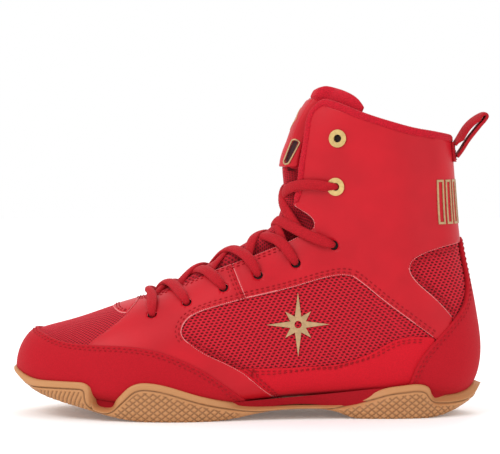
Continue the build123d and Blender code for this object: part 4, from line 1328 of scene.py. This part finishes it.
def make_binding():
    """The rolled knit edge of the collar and throat, in one run from side to side."""
    half = np.vstack([flank(THROAT[::-1], COLLAR), [[HEEL_TOP_U, BACK_Q]]])
    path = along_path(np.vstack([half, mirrored_below(half)[1:]]), finer(0.45))
    for _ in range(8):
        path[1:-1] = (path[:-2] + path[1:-1] + path[2:]) / 3
    points, normal = raised(path), skin_normal(*path.T)
    edgeward = np.cross(unit(np.gradient(points, axis=0)), normal)
    if edgeward[len(edgeward) // 2][2] < 0:
        edgeward = -edgeward
    centres = points + normal * -2.55 + edgeward * 0.75
    reach = reach_along(points)
    taper = np.clip(np.minimum(reach, reach[-1] - reach) / 5.0, 0.25, 1) ** 0.5
    angle = circle_angles(22)
    c, s = np.cos(angle), np.sin(angle)
    squared = (np.abs(c) ** 3 + np.abs(s) ** 3) ** (-1 / 3)

    def profile(i):
        loops = (0.13 * np.cos(2 * pi * reach[i] / 1.25 + 3.0 * c)
                 + 0.07 * np.cos(2 * pi * reach[i] / 2.9 + 5 * angle))
        swell = (1 + 0.03 * sin(reach[i] / 9.0) + 0.02 * sin(reach[i] / 3.7 + 1)) * taper[i]
        return np.stack([c * squared * (2.75 * swell + loops),
                         s * squared * (2.45 * swell + loops)], axis=1)

    sweep("collar_binding", centres, normal, edgeward, profile, KNIT)


make_binding()


# -------------------------------------------------------------------------- tongue
def pad_piece(node, border, spacing, outer, inner, material, body, rounding,
              values=None):
    """A padded panel that stands in for a node: outer(path) and inner(path) heights meet
    at a rounded rim."""
    path, triangles, lines = patch(border, spacing, [np.vstack([border, border[:1]])],
                                   (0.4, 1.1, 2.2, 3.6))
    points, normal = raised(path), skin_normal(*path.T)
    share = np.clip(line_distance(points, lines) / rounding, 0, 1)
    fullness = np.maximum(np.sqrt(1 - (1 - share) ** 2), 0.03)
    high, low = outer(path), inner(path)
    middle = (high + low) / 2
    top, bottom = (points + normal * (middle + (height - middle) * fullness)[:, None]
                   for height in (high, low))
    _, faces = closed_sheet(triangles, top, normal)
    data = doubled(values(path)) if values else None
    piece = mesh_piece(node, np.vstack([top, bottom]), faces, body, [material], values=data)
    return stand_in(piece, node)


def q_at(u, y):
    """The q on the top half of the section at u where the skin is y to one side."""
    table = np.linspace(0, 1.2, 400)
    widths = np.abs(skin(np.full(400, u), table)[:, 1])
    return float(np.interp(y, widths, table))


FRONT_Q = np.linspace(0, 1.2, 240)
FRONT_U = np.linspace(place(60.9, 140.0)[0], place(86.0, 202.2)[0], 150)
FRONT = [skin(np.full(240, u), FRONT_Q) for u in FRONT_U]


def spot(y, z):
    """The (u, q) on the front of the shaft that is y to one side, at height z."""
    qs = np.array([np.interp(y, np.abs(ring[:, 1]), FRONT_Q) for ring in FRONT])
    heights = np.array([np.interp(q, FRONT_Q, ring[:, 2]) for q, ring in zip(qs, FRONT)])
    return float(np.interp(z, heights, FRONT_U)), float(np.interp(z, heights, qs))


# Its second colour is painted shade at the bottom of the holes.
TONGUE_CLOTH = mesh_material("tongue_mesh_cloth", shade(KNIT_RED, 0.95), shade(KNIT_RED, 0.2))


def patch_material():
    """Leather with gold foil where foil is 1, and near-black painted shade in the slots."""
    material = leather_material()
    shader = material.node_tree.nodes["Principled BSDF"]
    old = shader.inputs["Base Color"].links[0].from_socket
    # the foil is printed gold; the near-black colour is painted shade in the slots
    for attribute, colour in (("foil", GOLD), ("painted_pit_shade", (0.03, 0.004, 0.006))):
        source = node(material, "ShaderNodeAttribute", attribute_name=attribute)
        mix = node(material, "ShaderNodeMix", data_type="RGBA")
        wire(material, source.outputs["Fac"], mix.inputs["Factor"])
        wire(material, old, mix.inputs["A"])
        mix.inputs["B"].default_value = (*colour, 1)
        old = mix.outputs["Result"]
    wire(material, old, shader.inputs["Base Color"])
    return material


PATCH_SKIN = patch_material()


def make_tongue_lower():
    """Mesh under the lacing, humped along the middle, up to where the head tilts."""
    def hump(path):
        x, y, _ = raised(path).T
        rise = eased(np.clip((15.0 - np.abs(y)) / 10.0, 0, 1))
        return -10.0 + 9.5 * rise + 0.3 * np.sin(x / 6.5) * np.exp(-(y / 9.0) ** 2)

    def pits(path):
        return ovals(path[:, 1] * 74.0, path[:, 0] * 430.0, 1.5, 3.0, 0.55, 1.1)

    stretch = np.linspace(place(-21.5, 73.2)[0], place(60.9, 149.4)[0] - 0.012, 40)
    edge = np.array([(u, q_at(u, 21.0 if u < 0.6 else 22.5)) for u in stretch]
                    + [spot(y, 151.6) for y in (22.4, 18, 14, 10, 7, 4, 2)])
    border = np.vstack([edge, [spot(0, 151.6)], mirrored(edge)])
    # the holes are sunk, and darkened with painted shade
    lower = pad_piece("tongue_lower", border, finer(0.75),
                      lambda path: hump(path) - 0.5 * pits(path),
                      lambda path: hump(path) - 3.4, TONGUE_CLOTH, "boot", 1.6,
                      lambda path: {"painted_pit_shade": pits(path)})


HEAD_TOP = flank([(81.8, 201.2), (84.5, 202.2), (89.0, 201.0), (96.0, 197.4), (103.5, 192.0),
                  (107.5, 187.0)])
HEAD_TOP_LINE = raised(np.vstack([mirrored(HEAD_TOP), HEAD_TOP]))


def head_height(path):
    """The head's front: set back at the sides, with a rolled rim along the top."""
    points = raised(path)
    step = eased(np.clip((np.abs(points[:, 1]) - 10.5) / 7.5, 0, 1))
    below_rim = line_distance(points, [HEAD_TOP_LINE])
    seam = -1.1 * np.exp(-((below_rim - 10.0) / 0.9) ** 2)
    rim = 1.0 * np.clip(1 - (below_rim - 5.0) ** 2 / 25.0, 0, 1)
    return -1.6 - 5.4 * step + seam + rim * (1 - 0.5 * step)


def make_tongue_head():
    """A rolled textile rim round a smooth panel, between the sides of the throat."""
    wing = flank([(107.5, 187.0), (104.0, 178.0), (99.0, 165.0), (95.5, 151.2)],
                 [(95.5, 151.2), (84.0, 150.6), (74.0, 149.8)])
    foot = [spot(y, 149.0) for y in (19, 16, 13, 10, 7, 4, 2, 0)]
    edge = np.vstack([[(HEAD_TOP[0, 0], 0.0)], HEAD_TOP, wing[1:], foot])
    border = np.vstack([edge, mirrored(edge)[:-1]])
    head = pad_piece("tongue_head", border, 1.5, head_height,
                     lambda path: np.full(len(path), -11.2), KNIT, "tongue", 4.6)


def patch_border():
    """Round the tongue's leather patch, from the middle of its lower edge."""
    edge = [spot(y, 150.6) for y in (0, 3, 6, 9, 12, 14.6)]
    edge += [spot(15.6, z) for z in np.linspace(151.4, 190.6, 40)]
    edge += [spot(y, z) for y, z in ((14.9, 191.8), (13.2, 192.4), (10, 192.7), (6, 193.0),
                                     (3, 193.2))]
    return np.vstack([edge, [spot(0, 193.3)], mirrored(np.array(edge[1:]))])


PATCH_BORDER = patch_border()
PATCH_EDGE = raised(np.vstack([PATCH_BORDER, PATCH_BORDER[:1]]))
SLOT_TOP, SLOT_FOOT = np.array([12.4, 165.4]), np.array([10.6, 154.2])   # (y, z) of its ends
SLOT_AXIS = (SLOT_TOP - SLOT_FOOT) / np.linalg.norm(SLOT_TOP - SLOT_FOOT)
SLOT_RADIUS = 2.0


def slot_gap(points):
    """Distance in the front view from the centre lines of the two slots."""
    flat = np.stack([np.abs(points[:, 1]), points[:, 2]], axis=1) - SLOT_FOOT
    length = np.linalg.norm(SLOT_TOP - SLOT_FOOT)
    along = np.clip(flat @ SLOT_AXIS, 0, length)
    return np.linalg.norm(flat - along[:, None] * SLOT_AXIS, axis=1)


def emblem_share(points):
    """1 on a small diamond outline above the slots."""
    size = np.abs(points[:, 1]) / 7.0 + np.abs(points[:, 2] - 180.0) / 7.5
    return np.clip((0.13 - np.abs(size - 0.85)) / 0.04, 0, 1)


def patch_height(path):
    points = raised(path)
    lift = 1.5 + 1.7 * np.clip((166.0 - points[:, 2]) / 15.0, 0, 1)
    dip = 1.2 * np.clip((1.7 - slot_gap(points)) / 0.35, 0, 1)
    seam = 0.25 * np.exp(-((line_distance(points, [PATCH_EDGE]) - 1.9) / 0.45) ** 2)
    return head_height(path) + lift - dip + 0.35 * emblem_share(points) - seam


def make_tongue_patch():
    """The leather patch on the front of the head, with its two slots and an emblem."""
    def values(path):
        points = raised(path)
        return {"foil": emblem_share(points),
                # painted shade, near black, in the two slots
                "painted_pit_shade": np.clip((1.75 - slot_gap(points)) / 0.3, 0, 1)}

    pad_piece("tongue_patch", PATCH_BORDER, 0.8, patch_height,
              lambda path: patch_height(path) - 1.5, PATCH_SKIN, "tongue", 0.7, values)


def make_keeper_rims():
    """Gold rims round the slots."""
    angle, section = circle_angles(64), circle_angles(8)
    across_slot = np.array([SLOT_AXIS[1], -SLOT_AXIS[0]])
    vertices, faces = [], []
    for sign in (1, -1):
        ring = []
        for a in angle:
            end = SLOT_TOP if sin(a) > 0 else SLOT_FOOT
            u, q = spot(*(end + SLOT_RADIUS * (SLOT_AXIS * sin(a) + across_slot * cos(a))))
            ring.append((u, sign * q))
        ring = np.array(ring)
        points, normals = raised(ring, patch_height(ring) + 0.1), skin_normal(*ring.T)
        tangent = unit(np.roll(points, -1, axis=0) - np.roll(points, 1, axis=0))
        tube = (points[:, None, :] + normals[:, None, :] * 0.42 * np.sin(section)[:, None]
                + np.cross(tangent, normals)[:, None, :] * 0.62 * np.cos(section)[:, None])
        loop = tube_faces(len(angle), len(section), len(vertices), closed=True)
        faces += loop if sign > 0 else [face[::-1] for face in loop]
        vertices += list(tube.reshape(-1, 3))
    stand_in(mesh_piece("keeper_rims", np.array(vertices), faces, "tongue", [GOLD_FILM]),
             "keeper_rims")


make_tongue_lower()
make_tongue_head()
make_tongue_patch()
make_keeper_rims()


# -------------------------------------------------------------------------- insole
def make_insole():
    edge = flank([(-86.0, 25.6), (-76, 22.8), (-60, 17.8), (-20, 12.8), (40, 14.4), (90, 16.2),
                  (130, 17.4), (158, 19.4), (172.5, 26.5)])
    heel_u = place(181.4, 35.0)[0]
    other = mirrored_below(edge)
    toe = girth(edge[0, 0], other[-1, 1], edge[0, 1], 30)[1:-1]
    border = np.vstack([edge, [(heel_u, BACK_Q)], other, toe])
    insole = pad_piece("insole", border, 3.0,
                       lambda path: np.full(len(path), -5.7),
                       lambda path: -9.2 + 0.25 * np.sin(raised(path)[:, 0] / 11.0),
                       INSOLE_CLOTH, "footbed", 1.7)


make_insole()


# ------------------------------------------------------------------------ pull tab
def weave(across, along):
    """Height of the webbing's slanting ribs."""
    return 0.09 * np.cos(2 * pi * (np.abs(across) * 0.9 + along) / 1.5)


def make_pull_tab():
    """A loop of webbing behind the collar."""
    loop = smooth_line([(166.0, 164.2), (169.4, 170.0), (173.0, 175.6), (177.4, 179.8),
                        (182.3, 182.7), (184.9, 183.1), (186.0, 181.7), (185.4, 179.9),
                        (182.4, 175.7), (178.3, 170.6), (174.6, 165.7), (171.2, 160.3),
                        (168.4, 156.6)], 0.5)
    centres = np.stack([loop[:, 0], 0 * loop[:, 0], loop[:, 1]], axis=1)
    across = np.tile(np.array([0.0, 1.0, 0.0]), (len(centres), 1))
    outward = np.cross(unit(np.gradient(centres, axis=0)), across)
    half, thick = 8.9, 0.9
    share = np.linspace(-1, 1, 46)
    y = share * half
    rounding = np.clip((half - np.abs(y)) / 0.8, 0, 1)
    rise = thick * (0.35 + 0.65 * np.sqrt(1 - (1 - rounding) ** 2))
    # the webbing's edges curl in towards each other, most on the upper leg
    reach = reach_along(centres)
    inward = np.sign(((centres.mean(axis=0) - centres) * outward).sum(axis=1))
    tip = reach[int(np.argmax(centres[:, 0]))]
    curl = np.where(reach < tip, 3.0, 0.8) * np.clip(np.abs(reach - tip) / 7.0, 0, 1) ** 2
    curl *= inward * np.clip(reach / 5.0, 0.3, 1)

    def profile(i):
        bend, ribs = curl[i] * share ** 2, weave(y, reach[i])
        upper = np.stack([bend + rise + ribs, y], axis=1)
        lower = np.stack([bend - rise - ribs, y], axis=1)
        return np.vstack([upper, lower[::-1]])

    tab = sweep("pull_tab", centres, outward, across, profile, WEBBING, None)
    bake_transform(tab)


def make_tab_root():
    """The square of webbing sewn on the heel under the loop, and its stitches."""
    low_u, high_u = place(168.2, 152.9)[0], place(166.0, 165.2)[0]
    table = np.linspace(1.2, 2.0, 400)
    low_q, high_q = (float(np.interp(9.0, np.abs(skin(np.full(400, u), table)[:, 1])[::-1],
                                     table[::-1])) for u in (low_u, high_u))
    edge = np.stack([np.linspace(low_u, high_u, 20), np.linspace(low_q, high_q, 20)], axis=1)
    border = np.vstack([edge, mirrored_below(edge)])

    def ribs(path, distance):
        _, y, z = raised(path).T
        return weave(y, z)

    layer_piece("tab_root", "webbing", border, (LEATHER[1] - 0.1, 1.15), WEBBING, None, 0.8,
                [np.vstack([border, border[:1]])], ribs)
    rows = Stitches()
    centre = border.mean(axis=0)
    rows.row(along_path(centre + (np.vstack([border, border[:1]]) - centre) * 0.76, 0.5), 1.3)
    rows.piece("tab_stitches", "webbing")


make_pull_tab()
make_tab_root()


# ----------------------------------------------------------------------- heel bars
BAR_COUNT, BAR_PITCH, BAR_HALF, BAR_RIM = 8, 7.6, 2.9, 1.35
BAR_LOW, BAR_HIGH = 116.2, 143.0


def make_heel_bars():
    """Outlined bars round the back of the shaft, at even steps along its girth."""
    levels = np.linspace(BAR_LOW, BAR_HIGH, 28)
    shaft_middle, outside = 136.0, 90
    surface, reach = [], []
    for z in levels:
        ring = []
        for angle in np.radians(np.linspace(-100, 100, 161)):
            way = Vector((cos(angle), sin(angle), 0))
            start = Vector((shaft_middle, 0, z)) + way * outside
            ring.append(np.array(SKIN_TREE.ray_cast(start, -way, outside)[0]))
        steps = reach_along(np.array(ring))
        surface.append(np.array(ring))
        reach.append(steps - steps[len(steps) // 2])

    def at(s, z):
        """The skin's point s round from the back seam, at height z."""
        row = (z - BAR_LOW) / (BAR_HIGH - BAR_LOW) * (len(levels) - 1)
        low = int(min(max(row, 0), len(levels) - 2))
        ends = [np.array([np.interp(s, reach[k], surface[k][:, i]) for i in range(3)])
                for k in (low, low + 1)]
        return ends[0] + (ends[1] - ends[0]) * (row - low)

    def rectangle(centre, inset):
        left, right = centre - BAR_HALF + inset, centre + BAR_HALF - inset
        low, high = BAR_LOW + inset, BAR_HIGH - inset
        return ([(s, low) for s in np.linspace(left, right, 6)[:-1]]
                + [(right, z) for z in np.linspace(low, high, 24)[:-1]]
                + [(s, high) for s in np.linspace(right, left, 6)[:-1]]
                + [(left, z) for z in np.linspace(high, low, 24)[:-1]])

    vertices, faces = [], []
    for number in range(BAR_COUNT):
        centre = (number - (BAR_COUNT - 1) / 2) * BAR_PITCH
        outer, inner = rectangle(centre, 0.0), rectangle(centre, BAR_RIM)
        faces += tube_faces(4, len(outer), len(vertices))
        for border, height in ((outer, -0.9), (outer, -0.12), (inner, -0.12), (inner, -0.9)):
            for s, z in border:
                normal = np.cross(at(s + 0.5, z) - at(s - 0.5, z), [0, 0, 1.0])
                vertices.append(at(s, z) + unit(normal) * height)
    bars = mesh_piece("heel_bars", np.array(vertices), faces, "boot", [GOLD_FILM], smooth=False)
    stand_in(bars, "heel_bars")


make_heel_bars()


# -------------------------------------------------------- what stays from the frame
def dress(names, material):
    """Gives the frame's own nodes a finished material."""
    for name in names:
        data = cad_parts[name].data
        data.materials.clear()
        data.materials.append(material)


FOAM = knit_material("foam", (0.30, 0.03, 0.04), 700)
BOARD = suede_material("fibre_board", (0.34, 0.24, 0.15))
STIFFENER = suede_material("stiffener_sheet", (0.30, 0.22, 0.16))
CORK = suede_material("filler_felt", (0.40, 0.30, 0.20))
MIDSOLE = suede_material("midsole_foam", shade(SUEDE_RED, 0.8))
TIP_PLASTIC, _tip_shader = new_material("tip_plastic", (0.30, 0.015, 0.02), 0.3)
bump(TIP_PLASTIC, _tip_shader, scaled_noise(TIP_PLASTIC, 900).outputs["Fac"], 0.1, 0.0001)
dress(["shaft_foam_lateral", "shaft_foam_medial"], FOAM)
dress(["strobel_board"], BOARD)
dress(["toe_puff", "heel_stiffener"], STIFFENER)
dress(["bottom_filler"], CORK)
dress(["midsole_wedge"], MIDSOLE)
dress(["lace_tips"], TIP_PLASTIC)
dress(["eyelets_lateral", "eyelets_medial", "eyelet_washers_lateral",
       "eyelet_washers_medial"], BRASS)
dress(["side_star_lateral", "side_star_medial"], GOLD_FILM)


# ------------------------------------------------------------------ camera and light
def aim(obj, target):
    obj.rotation_euler = (Vector(target) - obj.location).to_track_quat("-Z", "Y").to_euler()


camera_data = bpy.data.cameras.new("camera")
camera_data.lens, camera_data.sensor_width = 152.5, 36.0
camera_data.shift_y = -0.184
camera = bpy.data.objects.new("camera", camera_data)
camera.location = (0.0412, -1.300, 0.170)
camera.rotation_euler = (radians(90), 0, 0)
bpy.context.scene.collection.objects.link(camera)
bpy.context.scene.camera = camera

floor_mesh = bpy.data.meshes.new("floor")
floor_mesh.from_pydata([(-3, -3, 0), (3, -3, 0), (3, 3, 0), (-3, 3, 0)], [], [(0, 1, 2, 3)])
floor = bpy.data.objects.new("floor", floor_mesh)
floor_material, floor_shader = new_material("studio_floor", (0.93, 0.93, 0.93), 0.7)
floor_shader.inputs["Emission Color"].default_value = (1, 1, 1, 1)
floor_shader.inputs["Emission Strength"].default_value = 0.10
floor_mesh.materials.append(floor_material)
bpy.context.scene.collection.objects.link(floor)

world = bpy.data.worlds.new("studio")
bpy.context.scene.world = world
world.use_nodes = True
world.node_tree.nodes["Background"].inputs["Color"].default_value = (1, 1, 1, 1)
world.node_tree.nodes["Background"].inputs["Strength"].default_value = 1.0
bpy.context.scene.view_settings.view_transform = "Standard"


def softbox(name, location, target, size, power):
    light = bpy.data.lights.new(name, "AREA")
    light.shape, light.size, light.size_y, light.energy = "RECTANGLE", size[0], size[1], power
    lamp = bpy.data.objects.new(name, light)
    lamp.location = location
    bpy.context.scene.collection.objects.link(lamp)
    aim(lamp, target)


softbox("key", (-0.9, -0.7, 1.2), (0.0, 0, 0.07), (0.9, 0.6), 9.0)
softbox("fill", (1.0, -0.9, 0.5), (0.04, 0, 0.09), (0.8, 0.8), 1.5)
softbox("back", (0.2, 1.1, 1.0), (0.04, 0, 0.10), (1.0, 0.5), 4.5)
